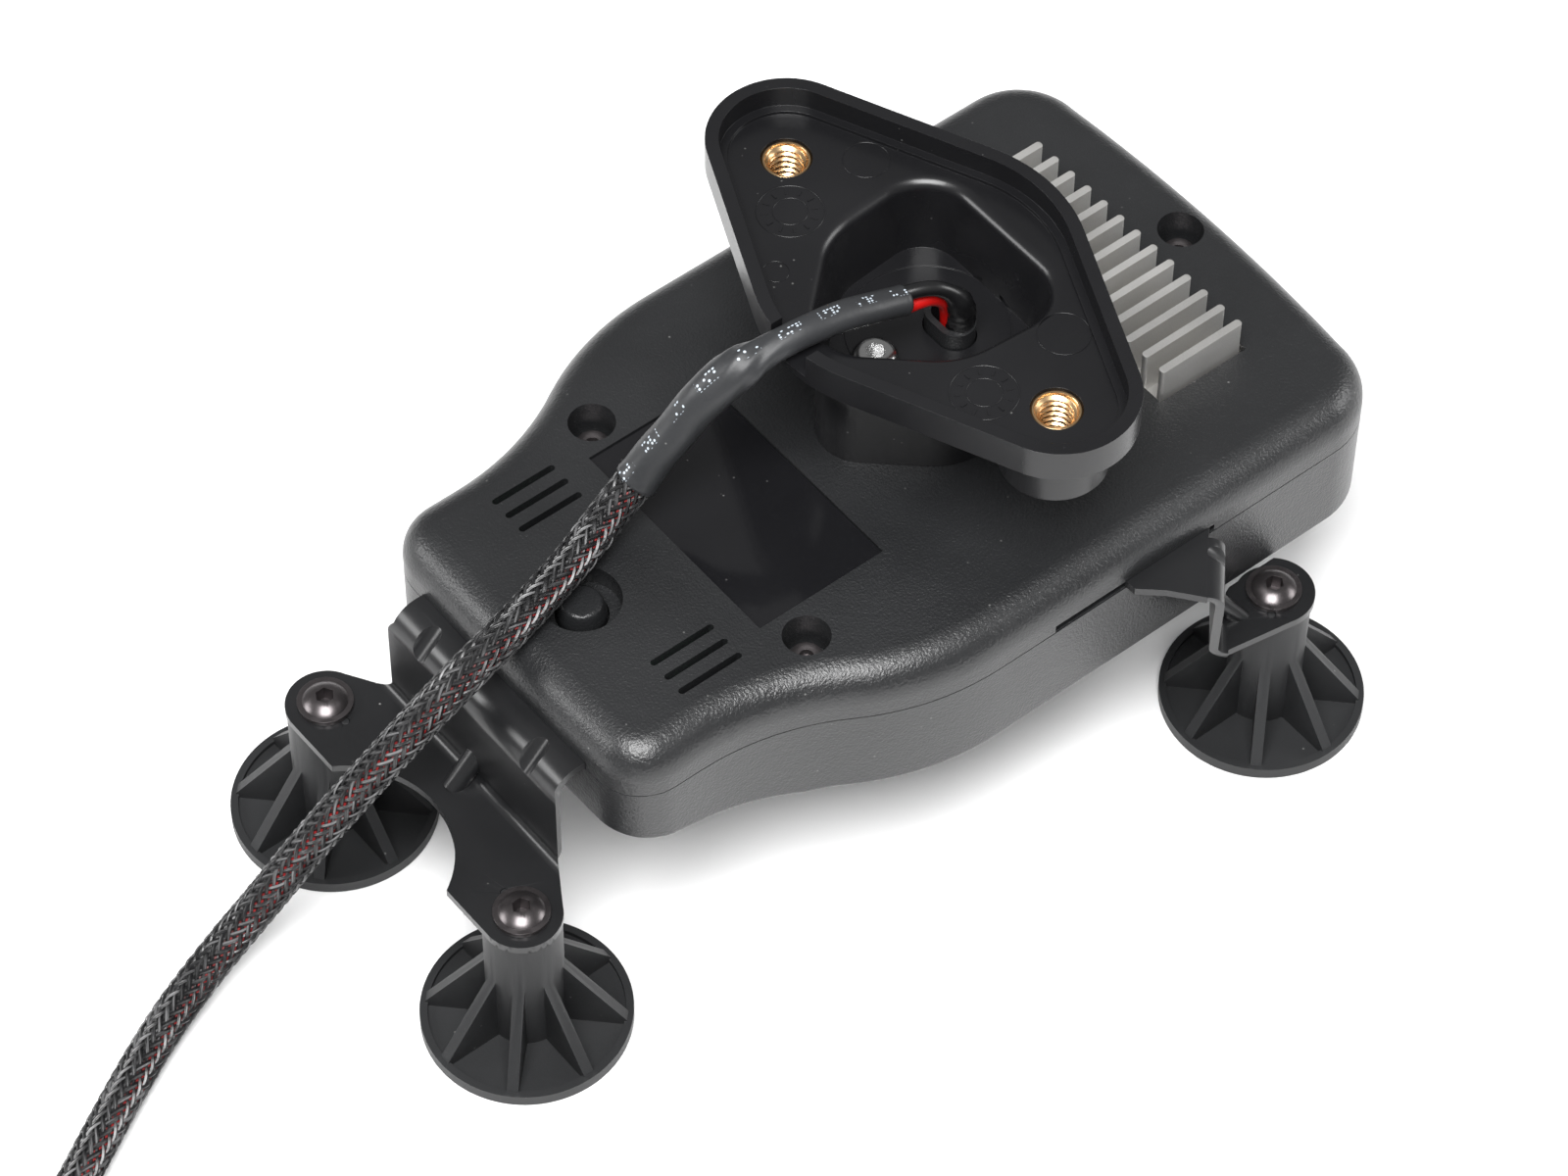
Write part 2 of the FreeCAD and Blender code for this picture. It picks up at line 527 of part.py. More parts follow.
# ---------------------------------------------------------------- pressed sheet brackets
def bent_sheet(top_z, low_z, reach_in, reach_out, top_bend):
    """A Z profile in the (u, z) plane: tongue above, web at u = 0, pad below.

    The tongue runs to u = -reach_in and the pad to u = +reach_out."""
    t, r, r1 = SHEET, val("bend"), top_bend
    big, big1 = r + t, r1 + t

    def q(u, z):
        return Vec(u, 0, z)

    c1 = (-big1, top_z - big1)
    c2 = (r, low_z - t + big)
    s = math.sqrt(0.5)
    pts = [
        Part.LineSegment(q(-reach_in, top_z), q(c1[0], top_z)),
        Part.Arc(q(c1[0], top_z), q(c1[0] + big1 * s, c1[1] + big1 * s), q(0, c1[1])),
        Part.LineSegment(q(0, c1[1]), q(0, c2[1])),
        Part.Arc(q(0, c2[1]), q(c2[0] - r * s, c2[1] - r * s), q(c2[0], low_z)),
        Part.LineSegment(q(c2[0], low_z), q(reach_out, low_z)),
        Part.LineSegment(q(reach_out, low_z), q(reach_out, low_z - t)),
        Part.LineSegment(q(reach_out, low_z - t), q(c2[0], low_z - t)),
        Part.Arc(q(c2[0], low_z - t), q(c2[0] - big * s, c2[1] - big * s), q(-t, c2[1])),
        Part.LineSegment(q(-t, c2[1]), q(-t, c1[1])),
        Part.Arc(q(-t, c1[1]), q(c1[0] + r1 * s, c1[1] + r1 * s), q(c1[0], top_z - t)),
        Part.LineSegment(q(c1[0], top_z - t), q(-reach_in, top_z - t)),
        Part.LineSegment(q(-reach_in, top_z - t), q(-reach_in, top_z)),
    ]
    wire = Part.Wire([e.toShape() for e in pts])
    face = Part.Face(wire)
    solid = face.extrude(Vec(0, 80, 0))
    solid.translate(Vec(0, -40, 0))
    return solid


def foot_hole(x, y, peg_x, peg_y):
    return [cyl(x, y, PAD_TOP - 5, PAD_TOP + 5, 2.15),
            cyl(peg_x, peg_y, PAD_TOP - 5, PAD_TOP + 5, 0.75)]


# The end bracket's web stands across the narrow end, so the profile runs toward -X.
ex, ey = val("end_foot_x"), val("end_foot_y")
profile = bent_sheet(TONGUE_TOP, PAD_TOP, 13.4, 22.0, val("wide_bend"))
profile.rotate(Vec(0, 0, 0), Vec(0, 0, 1), 180)
profile.translate(Vec(val("web_x"), 0, 0))
r = val("pad_radius")
half = val("tongue_half")
wide = prism([(val("web_x") - 0.7, -half), (val("narrow_x") + 8, -half),
              (val("narrow_x") + 8, half), (val("web_x") - 0.7, half)], 20, 60)
arms = []
for s in (1, -1):
    tip = cyl(ex, s * ey, 20, 60, r)
    arm = prism([(ex - r, s * ey), (ex - r, 0.0), (val("web_x") + 0.6, 0.0),
                 (val("web_x") + 0.6, s * half), (ex + r * 0.86, s * (ey + r * 0.5))], 20, 60)
    arms += [tip, arm]
plan = wide.fuse(arms).removeSplitter()
bay_r = 18.3
bay = cyl(ex + 2.1 - bay_r, 0, 10, 40, bay_r)
endb = profile.common(plan).cut(bay)
for s in (1, -1):
    endb = endb.cut(foot_hole(ex, s * ey, ex + 0.4, s * (ey - 5.0)))
endb = endb.cut([cyl(x, y, 40, 60, 1.5) for x, y in PEGS if x < 0])
# gussets pressed into the bends: a rib left inside, a dent outside
centre_x = val("web_x") + val("wide_bend") + SHEET
centre_z = TONGUE_TOP - val("wide_bend") - SHEET
slope = Vec(1, 0, 1).normalize()
for s in (1, -1):
    y = s * 14.2
    spots = [(-3.6, -1.2), (-3.6, 0.0), (-2.5, 2.5), (0.0, 3.6), (1.1, 3.6)]
    ring = [Vec(centre_x + u, y - 2.0, centre_z + w) for u, w in spots]
    rib = Part.Face(Part.makePolygon(ring + ring[:1])).extrude(Vec(0, 4.0, 0))
    off = 5.7 * math.sqrt(0.5)
    at = Vec(centre_x - off, y, centre_z + off)
    endb = endb.fuse(rib).cut(Part.makeCylinder(2.0, 20.0, at - slope * 10.0, slope))
rise = Vec(1, 0, 1).normalize()
bump = Part.makeCylinder(1.9, 9.0, Vec(val("web_x") - 4.1, 0.5, PAD_TOP - 1.0), rise)
room = box(val("web_x") - 6.0, val("web_x") + 1.0, -4.0, 5.0, PAD_TOP - 1.0, PAD_TOP + 6.0)
endb = endb.fuse(bump.common(room))
node("end_bracket", endb.removeSplitter())

sx, sy = val("side_foot_x"), val("side_foot_y")
web_angle = 48.0


def side_bracket():
    """The -Y bracket: a slanting web carries the pad round the foot screw."""
    d = Vec(math.cos(math.radians(web_angle)), math.sin(math.radians(web_angle)), 0)
    n = Vec(d.y, -d.x, 0)
    solid = bent_sheet(TONGUE_TOP, PAD_TOP, 40.0, 40.0, val("bend"))
    start = Vec(51.4, -48.6, 0) + n * 1.2
    solid.rotate(Vec(0, 0, 0), Vec(0, 0, 1), math.degrees(math.atan2(n.y, n.x)))
    solid.translate(start)
    across = start.dot(n)

    def plan(s, u):
        spot = d * s + n * (across + u)
        return spot.x, spot.y

    tongue = prism([(32.0, -39.9), (51.3, -39.9), (51.6, -46.2), plan(-3.4, -3.0), plan(-15.8, -3.0),
                    (36.4, -52.6), (32.6, -49.2)], PART_Z - 1, 60)
    pad_plan = prism([plan(-10.9, 1.2), (sx - 1.3, -sy - r - 0.15), (sx, -sy), (sx - 1.6, -sy + r + 0.1),
                      plan(1.4, 1.2)], 20, PAD_TOP + 1)
    disc = cyl(sx, -sy, 20, PAD_TOP + 1, r + 0.3)
    slant = [(-15.8, TONGUE_TOP + 0.1), (-3.4, TONGUE_TOP + 0.1), (1.4, PAD_TOP - SHEET - 0.1),
             (-10.9, PAD_TOP - SHEET - 0.1)]
    ring = [d * s + n * (across - 3.2) + Vec(0, 0, z) for s, z in slant]
    web = Part.Face(Part.makePolygon(ring + ring[:1])).extrude(n * 5.0)
    solid = solid.common(tongue.fuse([pad_plan, disc, web]).removeSplitter())
    solid = solid.cut(block(20.0, PART_Z, -0.1))
    # a gusset pressed into each bend
    big = val("bend") + SHEET
    slope = (n * -1 + Vec(0, 0, 1)).normalize()
    off = 3.9 * math.sqrt(0.5) - big
    dent_at = d * -6.3 + n * (across + off) + Vec(0, 0, TONGUE_TOP + off)
    bump_at = d * -2.9 + n * (across + 4.0) + Vec(0, 0, PAD_TOP - 1.0)
    room = cyl(bump_at.x, bump_at.y, PAD_TOP - 1.0, PAD_TOP + 6.0, 5.0)
    solid = solid.cut(Part.makeCylinder(1.7, 16.0, dent_at - slope * 8.0, slope))
    solid = solid.fuse(Part.makeCylinder(1.6, 9.0, bump_at, slope).common(room))
    solid = solid.cut(foot_hole(sx, -sy, sx - 3.6, -sy - 3.5))
    return solid.cut([cyl(x, y, 40, 60, 1.5) for x, y in PEGS if x > 0])


right = side_bracket()
left = right.mirror(Vec(0, 0, 0), Vec(0, 1, 0))
node("side_bracket_right", right)
node("side_bracket_left", left)

# ---------------------------------------------------------------- feet
def foot(label, x, y, peg_x, peg_y):
    """A ribbed disc foot: turned body, eight upright ribs, an index peg on top."""
    body = revolve_body(label + "_turned", [
        (0, 0), ("disc_radius", 0), ("disc_radius", "rim_high"),
        (("disc_radius", 1, -1.3), "rim_high"), (("disc_radius", 1, -1.3), "disc_thick"),
        ("post_radius", "disc_thick"), ("post_radius", ("pad_z", 1, -SHEET)),
        ("nut_radius", ("pad_z", 1, -SHEET)), ("nut_radius", ("pad_z", 1, -SHEET - val("nut_len"))),
        (0, ("pad_z", 1, -SHEET - val("nut_len"))),
    ], register=False)
    plane = {o.Role: o for o in body.Origin.OriginFeatures if hasattr(o, "Role")}
    rib = body.newObject("Sketcher::SketchObject", label + "_rib")
    rib.AttachmentSupport = [(plane["XZ_Plane"], "")]
    rib.MapMode = "FlatFace"
    inside = val("post_radius") - 1.0
    edge = val("disc_radius") - 0.9
    low_z = val("disc_thick") - 0.4
    corners = [(inside, low_z), (edge, low_z), (edge, val("rim_high") + 0.3), (inside, val("rib_high"))]
    for i in range(4):
        a, b = corners[i], corners[(i + 1) % 4]
        rib.addGeometry(Part.LineSegment(Vec(a[0], a[1], 0), Vec(b[0], b[1], 0)), False)
    for i in range(4):
        rib.addConstraint(Sketcher.Constraint("Coincident", i, 2, (i + 1) % 4, 1))
    padded = body.newObject("PartDesign::Pad", label + "_rib_pad")
    padded.Profile = rib
    padded.setExpression("Length", "dims.rib_thick")
    padded.Midplane = True
    doc.recompute()
    pattern = body.newObject("PartDesign::PolarPattern", label + "_ribs")
    pattern.Originals = [padded]
    axis = [o for o in body.Origin.OriginFeatures if o.Role == "Z_Axis"][0]
    pattern.Axis = (axis, [""])
    pattern.Angle = 360.0
    pattern.Occurrences = 8
    doc.recompute()
    body.Tip = pattern
    doc.recompute()
    peg = doc.addObject("Part::Cylinder", label + "_peg")
    peg.Radius = 0.65
    peg.Height = 2.4
    peg.Placement.Base = Vec(peg_x - x, peg_y - y, POST_TOP - 1.0)
    joined = doc.addObject("Part::Fuse", label + "_joined")
    joined.Base = body
    joined.Tool = peg
    joined.Placement.Base = Vec(x, y, 0)
    doc.recompute()
    return keep(label, joined)


FEET = [
    ("foot_end_left", ex, ey, ex + 0.4, ey - 5.0),
    ("foot_end_right", ex, -ey, ex + 0.4, -ey + 5.0),
    ("foot_side_left", sx, sy, sx - 3.6, sy + 3.5),
    ("foot_side_right", sx, -sy, sx - 3.6, -sy - 3.5),
]
for item in FEET:
    foot(*item)
nuts, screws = [], []
for label_text, x, y, px, py in FEET:
    nut = cyl(x, y, POST_TOP - val("nut_len"), POST_TOP - 0.1, val("nut_radius") - 0.01)
    nuts.append(nut.cut(cyl(x, y, 10, 40, 2.0)))
    z = PAD_TOP
    head = cyl(x, y, z, z + 0.9, val("foot_head"))
    dome = Part.makeSphere(5.9, Vec(x, y, z - 3.5)).common(cyl(x, y, z + 0.5, z + 2.2, 3.8))
    head = head.fuse([dome, cyl(x, y, POST_TOP - 8.5, z, val("foot_shank"))]).removeSplitter()
    screws.append(head.cut(hex_socket(x, y, 1.6, z - 0.6, z + 4)))
node("foot_nuts", Part.makeCompound(nuts))
node("foot_screws", Part.makeCompound(screws))

# ---------------------------------------------------------------- cords
def cord(label, points, radius):
    """A round cord laid along a route: straight runs joined by tangent arcs."""
    pts = [Vec(*p) for p in points]
    edges, at, length, radii = [], pts[0], 0.0, []
    for i in range(1, len(pts) - 1):
        a, b, c = pts[i - 1], pts[i], pts[i + 1]
        u, v = (b - a), (c - b)
        short = min(u.Length, v.Length)
        u.normalize()
        v.normalize()
        turn = math.acos(max(-1.0, min(1.0, u.dot(v))))
        reach = 0.45 * short
        bend = reach / math.tan(turn / 2)
        start, stop = b - u * reach, b + v * reach
        inward = v - u
        inward.normalize()
        middle = b + inward * (bend / math.cos(turn / 2) - bend)
        edges.append(Part.LineSegment(at, start).toShape())
        edges.append(Part.Arc(start, middle, stop).toShape())
        length += (start - at).Length + bend * turn
        radii.append(round(bend / (2 * radius), 1))
        at = stop
    edges.append(Part.LineSegment(at, pts[-1]).toShape())
    length += (pts[-1] - at).Length
    path = Part.Wire(edges)
    along = pts[1] - pts[0]
    ring = Part.Wire(Part.Circle(pts[0], along, radius).toShape())
    solid = path.makePipeShell([ring], True, False)
    want = math.pi * radius * radius * length
    print(label, "length", round(length, 1), "bends in diameters", radii,
          "volume ratio", round(solid.Volume / want, 4))
    return solid, length


BLACK_ROUTE = [(31.8, -4.0, 57.9), (31.8, -4.0, 69.5), (32.5, -4.6, 79.2), (30.5, -3.5, 83.1),
               (27.0, -1.8, 85.3), (23.2, -0.4, 84.9)]
RED_ROUTE = [(31.8, -0.9, 57.9), (31.8, -0.9, 67.5), (32.0, -1.6, 75.6), (30.3, -1.8, 80.0),
             (27.0, -1.4, 82.2), (23.2, -0.9, 82.2)]
THIN_ROUTE = [(23.2, -0.7, 83.7), (12.6, 0.4, 87.4), (3.0, 0.9, 88.8), (-5.6, 2.6, 87.0)]
WIDE_ROUTE = [(-5.6, 2.6, 87.0), (-11.4, 4.3, 83.6), (-16.2, 5.9, 77.4), (-20.8, 7.2, 71.5),
              (-25.2, 8.0, 66.2)]
CABLE_ROUTE = [(-25.2, 8.0, 66.2), (-31.2, 7.6, 62.6), (-39.0, 5.0, 61.2), (-49.0, 2.0, 60.9),
               (-59.5, -0.6, 60.4), (-69.8, -0.4, 55.2), (-79.8, 2.4, 43.8), (-90.4, 6.8, 28.8),
               (-100.6, 10.0, 14.6), (-111.5, 10.4, 6.2), (-124.5, 6.4, 3.42), (-138.7, -1.4, 3.35),
               (-151.4, -9.0, 3.35), (-170.0, -20.0, 3.35), (-191.0, -32.4, 3.35)]
coil_r = val("coil_radius")
heading = Vec(-0.861, -0.509, 0).normalize()
left_of = Vec(-heading.y, heading.x, 0)
coil_mid = Vec(*CABLE_ROUTE[-1]) + left_of * coil_r
tail_from = coil_mid + heading * coil_r
tail_heading = left_of
TAIL_STEPS = [(0.0, 18.4), (18.0, 17.0), (34.0, 12.4), (48.0, 8.4), (58.0, 7.2)]
tail_route = []
for run, z in TAIL_STEPS:
    spot = tail_from + tail_heading * run
    tail_route.append((spot.x, spot.y, z))
black, black_len = cord("black_wire", BLACK_ROUTE, val("wire_radius"))
node("black_wire", black)
red, red_len = cord("red_wire", RED_ROUTE, val("wire_radius"))
node("red_wire", red)
thin, thin_len = cord("thin_sleeve", THIN_ROUTE, val("thin_radius"))
node("thin_sleeve", thin)
wide, wide_len = cord("wide_sleeve", WIDE_ROUTE, val("cable_radius") + 0.15)
node("wide_sleeve", wide)
ring = cyl(coil_mid.x, coil_mid.y, 0.0, 21.8, coil_r + val("cable_radius"))
ring = ring.cut(cyl(coil_mid.x, coil_mid.y, -1, 30, coil_r - val("cable_radius")))
node("cable_coil", ring)
cable, cable_len = cord("braided_cable", CABLE_ROUTE, val("cable_radius"))
node("braided_cable", cable)
tail, tail_len = cord("cable_tail", tail_route, val("cable_radius"))
node("cable_tail", tail)
plug_at = Vec(*tail_route[-1])
grip = Part.makeCylinder(7.1, 24.0, plug_at, tail_heading)
collar = Part.makeCylinder(6.0, 13.0, plug_at + tail_heading * 24.0, tail_heading)
bore = Part.makeCylinder(4.9, 10.0, plug_at + tail_heading * 27.5, tail_heading)
node("cable_plug", grip.fuse(collar).cut(bore).removeSplitter())
pins = []
for side in (1, -1):
    foot_at = plug_at + tail_heading * 27.5 + heading * (1.9 * side)
    pins.append(Part.makeCylinder(0.8, 8.0, foot_at, tail_heading))
node("plug_pins", Part.makeCompound(pins))

# ---------------------------------------------------------------- write
doc.recompute()
for piece in doc.Objects:
    if "Invalid" in piece.State or "Error" in piece.State:
        raise RuntimeError("failed object " + piece.Name)
for piece in NODES:
    if piece.Shape.isNull() or not piece.Shape.isValid():
        raise RuntimeError("bad shape " + piece.Label)
for piece in NODES:
    piece.Shape.exportStep("parts/%s.step" % piece.Label)
    limits = piece.Shape.BoundBox
    print("%-20s solids %2d volume %9.1f  x %.1f..%.1f y %.1f..%.1f z %.1f..%.1f" % (
        piece.Label, len(piece.Shape.Solids), piece.Shape.Volume, limits.XMin, limits.XMax,
        limits.YMin, limits.YMax, limits.ZMin, limits.ZMax))
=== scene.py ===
# %% [markdown]
# # A sensor pod on four ribbed feet
# This lesson dresses a finished CAD model for its picture. The hard shapes (shells, flange,
# brackets, feet, screws) come from the CAD frame and are never moved. Here they get crisp shading,
# small bevels and procedural finishes. What CAD can't draw well is modelled here instead: the
# braided cable, the shrink sleeves, the two wires, the threads and the moulding marks.

# %% Load the frame
import json
import math

import bpy
import numpy as np
from mathutils import Matrix, Vector


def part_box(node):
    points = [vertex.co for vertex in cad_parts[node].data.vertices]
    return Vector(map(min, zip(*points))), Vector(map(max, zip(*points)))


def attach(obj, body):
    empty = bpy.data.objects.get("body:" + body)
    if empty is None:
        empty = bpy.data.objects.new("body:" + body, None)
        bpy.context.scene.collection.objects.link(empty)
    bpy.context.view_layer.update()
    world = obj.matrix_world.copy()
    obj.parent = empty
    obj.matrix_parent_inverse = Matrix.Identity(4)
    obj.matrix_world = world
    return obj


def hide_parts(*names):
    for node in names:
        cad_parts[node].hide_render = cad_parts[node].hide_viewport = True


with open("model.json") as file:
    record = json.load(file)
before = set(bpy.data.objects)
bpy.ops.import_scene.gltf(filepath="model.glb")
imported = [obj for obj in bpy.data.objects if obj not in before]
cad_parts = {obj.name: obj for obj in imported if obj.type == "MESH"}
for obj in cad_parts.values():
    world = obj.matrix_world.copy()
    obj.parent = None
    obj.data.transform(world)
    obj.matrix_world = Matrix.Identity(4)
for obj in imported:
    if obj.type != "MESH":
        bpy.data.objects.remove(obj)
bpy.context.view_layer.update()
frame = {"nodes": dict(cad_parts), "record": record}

nodes = frame["nodes"]
MM = 0.001
rng = np.random.default_rng(7)

# %% [markdown]
# ## Camera
# A long lens from high on the narrow end's side. Such a lens keeps parallel edges nearly parallel,
# which is how small products are usually shown. Its position is in the frame's own metres, and
# three angles aim it: a turn about the upright, a rise above the floor and a slight roll.

# %% Aim the camera
CAMERA_AT = Vector((-0.3562, -0.4358, 0.7467))
LENS_MM, SENSOR_MM = 125.4, 36.0
TURN, RISE, ROLL = (math.radians(v) for v in (-39.21, 52.0, 0.63))
level = Vector((math.cos(TURN), math.sin(TURN), 0.0))
toward = Vector((math.sin(TURN) * math.cos(RISE), -math.cos(TURN) * math.cos(RISE),
                 math.sin(RISE)))
upright = toward.cross(level)
across = level * math.cos(ROLL) + upright * math.sin(ROLL)
upward = upright * math.cos(ROLL) - level * math.sin(ROLL)
lens_data = bpy.data.cameras.new("long_lens")
lens_data.lens = LENS_MM
lens_data.sensor_width = SENSOR_MM
lens_data.clip_start = 0.01
camera = bpy.data.objects.new("camera", lens_data)
camera.matrix_world = Matrix.Translation(CAMERA_AT) @ Matrix(
    (across, upward, toward)).transposed().to_4x4()
bpy.context.scene.collection.objects.link(camera)
bpy.context.scene.camera = camera
print("camera looks along", [round(-v, 3) for v in toward])

# %% [markdown]
# ## Paths for the cords
# A cord is a fixed length of something flexible, so its line is one smooth spline through the air,
# over the pod and down to the floor. A NURBS spline of order 3 stays inside its control points,
# so it never dips below the floor. The mesh tubes below follow points read from that spline.

# %% Read points from a NURBS spline
def spline_path(name, points_mm):
    """The points of a smooth open spline, in metres."""
    curve = bpy.data.curves.new(name, "CURVE")
    curve.dimensions = "3D"
    curve.resolution_u = 14
    spline = curve.splines.new("NURBS")
    spline.points.add(len(points_mm) - 1)
    for slot_point, spot in zip(spline.points, points_mm):
        slot_point.co = (spot[0] * MM, spot[1] * MM, spot[2] * MM, 1.0)
    spline.order_u = 3
    spline.use_endpoint_u = True
    holder = bpy.data.objects.new(name, curve)
    bpy.context.scene.collection.objects.link(holder)
    bpy.context.view_layer.update()
    deps = bpy.context.evaluated_depsgraph_get()
    line = bpy.data.meshes.new_from_object(holder.evaluated_get(deps))
    path = np.array([v.co for v in line.vertices])
    bpy.data.objects.remove(holder)
    bpy.data.meshes.remove(line)
    return path


def evenly(path, step):
    """The same path with points an even distance apart, and the distance of each."""
    run = np.concatenate([[0], np.cumsum(np.linalg.norm(np.diff(path, axis=0), axis=1))])
    count = max(4, int(round(run[-1] / step)) + 1)
    s = np.linspace(0, run[-1], count)
    return np.stack([np.interp(s, run, path[:, i]) for i in range(3)], axis=1), s


def carried_frames(path):
    """Two side directions at each point, carried along the path without twisting."""
    ahead = np.gradient(path, axis=0)
    ahead /= np.linalg.norm(ahead, axis=1)[:, None]
    side = np.zeros_like(path)
    first = np.cross(ahead[0], (0.0, 0.0, 1.0))
    if np.linalg.norm(first) < 0.2:
        first = np.cross(ahead[0], (0.0, 1.0, 0.0))
    side[0] = first / np.linalg.norm(first)
    for i in range(1, len(path)):
        s = side[i - 1] - ahead[i] * side[i - 1].dot(ahead[i])
        side[i] = s / np.linalg.norm(s)
    return side, np.cross(ahead, side)


print("path helpers ready, one unit here is", MM, "m")

# %% [markdown]
# ## From a path to a tube
# A tube is a ring of points at each step of the path, joined to the next ring by four-sided faces,
# with a fan of triangles over each end. Its radius is a function, so that one helper makes plain
# wire and lumpy sleeve alike. The UV map holds the share of a turn and the distance in metres.

# %% Build meshes and tubes
def mesh_piece(name, points, faces, uvs=None, smooth=True):
    """A new object from points and faces, with an optional UV for every face corner."""
    data = bpy.data.meshes.new(name)
    data.from_pydata([tuple(p) for p in points], [], faces)
    if uvs is not None:
        layer = data.uv_layers.new(name="along")
        layer.data.foreach_set("uv", np.asarray(uvs, np.float32).ravel())
    data.polygons.foreach_set("use_smooth", [smooth] * len(data.polygons))
    data.update()
    piece = bpy.data.objects.new(name, data)
    bpy.context.scene.collection.objects.link(piece)
    return piece


def tube(name, path, radius, around=20):
    """A closed tube. radius is a function of distance and angle, in metres."""
    spots, s = path
    side, other = carried_frames(spots)
    angle = np.linspace(0, 2 * math.pi, around, endpoint=False)
    reach = radius(s[:, None], angle[None, :]) * np.ones((len(s), around))
    ring = (np.cos(angle)[None, :, None] * side[:, None, :]
            + np.sin(angle)[None, :, None] * other[:, None, :])
    points = spots[:, None, :] + ring * reach[:, :, None]
    points = np.concatenate([points.reshape(-1, 3), spots[:1], spots[-1:]])
    faces, uvs = [], []
    for i in range(len(s) - 1):
        for j in range(around):
            k = (j + 1) % around
            near, far = i * around, (i + 1) * around
            faces.append((near + j, near + k, far + k, far + j))
            u0, u1 = j / around, (j + 1) / around
            uvs += [(u0, s[i]), (u1, s[i]), (u1, s[i + 1]), (u0, s[i + 1])]
    start, stop = len(points) - 2, len(points) - 1
    last = (len(s) - 1) * around
    for j in range(around):
        k = (j + 1) % around
        faces.append((start, k, j))
        faces.append((stop, last + j, last + k))
        uvs += [(0.5, 0.0)] * 3 + [(0.5, s[-1])] * 3
    return mesh_piece(name, points, faces, uvs)


# %% [markdown]
# ## The two wires
# A red and a black insulated wire rise out of the slot in the flange's bowl and bend over into
# the first shrink sleeve. Each is a small tube. A rough collar of black sealant grips both where
# they leave the slot, so the black tube's radius swells there by a noisy amount.

# %% Make the wires
WIRE_R = 1.3 * MM
BLACK_ROUTE = [(31.8, -4.0, 57.9), (31.8, -4.0, 69.5), (32.5, -4.6, 79.2), (30.5, -3.5, 83.1),
               (27.0, -1.8, 85.3), (23.2, -0.4, 84.9)]
RED_ROUTE = [(31.8, -0.9, 57.9), (31.8, -0.9, 67.5), (32.0, -1.6, 75.6), (30.3, -1.8, 80.0),
             (27.0, -1.4, 82.2), (23.2, -0.9, 82.2)]
SEAL_AT, SEAL_HALF, SEAL_EDGE = 0.0190, 0.0052, 0.0009
SEAL_THICK, SEAL_LUMP, LUMP_STEP = 0.00095, 0.00009, 0.00035
seal_lumps = rng.normal(0.0, 1.0, (400, 24))


def sealed(s, angle):
    """The black wire's radius: plain insulation, with a lumpy sealed stretch."""
    tall, wide = seal_lumps.shape
    rows = np.clip((s / LUMP_STEP).astype(int), 0, tall - 1)
    lumps = seal_lumps[rows, np.arange(angle.shape[1])[None, :] % wide]
    near = 1.0 / (1.0 + np.exp((np.abs(s - SEAL_AT) - SEAL_HALF) / SEAL_EDGE))
    return WIRE_R + near * (SEAL_THICK + SEAL_LUMP * lumps)


black_path = evenly(spline_path("black_route", BLACK_ROUTE), 0.0005)
red_path = evenly(spline_path("red_route", RED_ROUTE), 0.0006)
black_wire = tube("black_lead", black_path, sealed, 24)
red_wire = tube("red_lead", red_path, lambda s, angle: WIRE_R, 20)
print("wire lengths", round(black_path[1][-1], 4), round(red_path[1][-1], 4))

# %% [markdown]
# ## The shrink sleeves
# A thin sleeve gathers the two wires, and a wider one overlaps it and the end of the braid.
# Heat leaves them slightly lumpy: flat where the wires lie side by side, folded where the wide one
# closes on the thin one, and with a rolled lip at its open end.

# %% Make the shrink sleeves
THIN_ROUTE = [(23.2, -0.7, 83.7), (12.6, 0.4, 87.4), (3.0, 0.9, 88.8), (-5.6, 2.6, 87.0)]
WIDE_ROUTE = [(-5.6, 2.6, 87.0), (-11.4, 4.3, 83.6), (-16.2, 5.9, 77.4), (-20.8, 7.2, 71.5),
              (-25.2, 8.0, 66.2)]
sleeve_path = evenly(spline_path("sleeve_route", THIN_ROUTE + WIDE_ROUTE[1:]), 0.0005)
NECK = 0.0295  # distance along the route at which the wide sleeve closes on the thin one
THIN_R, WIDER_BY = 2.45 * MM, 1.05 * MM
SLEEVE_END = sleeve_path[1][-1]


def shrunk(s, angle):
    """Radius of the sleeves: thin, then a folded neck, then wide with a lip."""
    step = 1.0 / (1.0 + np.exp(-(s - NECK) / 0.0010))
    plain = THIN_R + step * WIDER_BY
    flat = 0.16 * MM * np.cos(2 * angle + 0.6) * (1 - 0.55 * step)
    folds = np.exp(-((s - NECK - 0.001) / 0.0040) ** 2)
    wrinkle = folds * 0.24 * MM * np.sin(5 * angle + 900 * s) * np.cos(2 * angle + 300 * s)
    slow = 0.10 * MM * np.sin(260 * s + 2 * angle) + 0.06 * MM * np.sin(610 * s - angle)
    mouth = 0.10 * MM * np.exp(-((s - 0.0004) / 0.0006) ** 2)
    lip = 0.12 * MM * np.exp(-((s - SLEEVE_END + 0.0006) / 0.0006) ** 2)
    closed = np.where(s < 0.0002, -0.25 * MM, 0.0)
    return plain + flat + wrinkle + slow * (0.4 + 0.6 * step) + mouth + lip + closed


shrink_sleeve = tube("shrink_sleeve", sleeve_path, shrunk, 44)
print("sleeve length", round(SLEEVE_END, 4))

# %% [markdown]
# ## The braided cable
# The cable is one spline from the wide sleeve, over the pod's narrow end and bracket, down to the
# floor, and round a neat coil to its plug. The coil's turns are worked out by a loop and are more
# control points of the same spline.

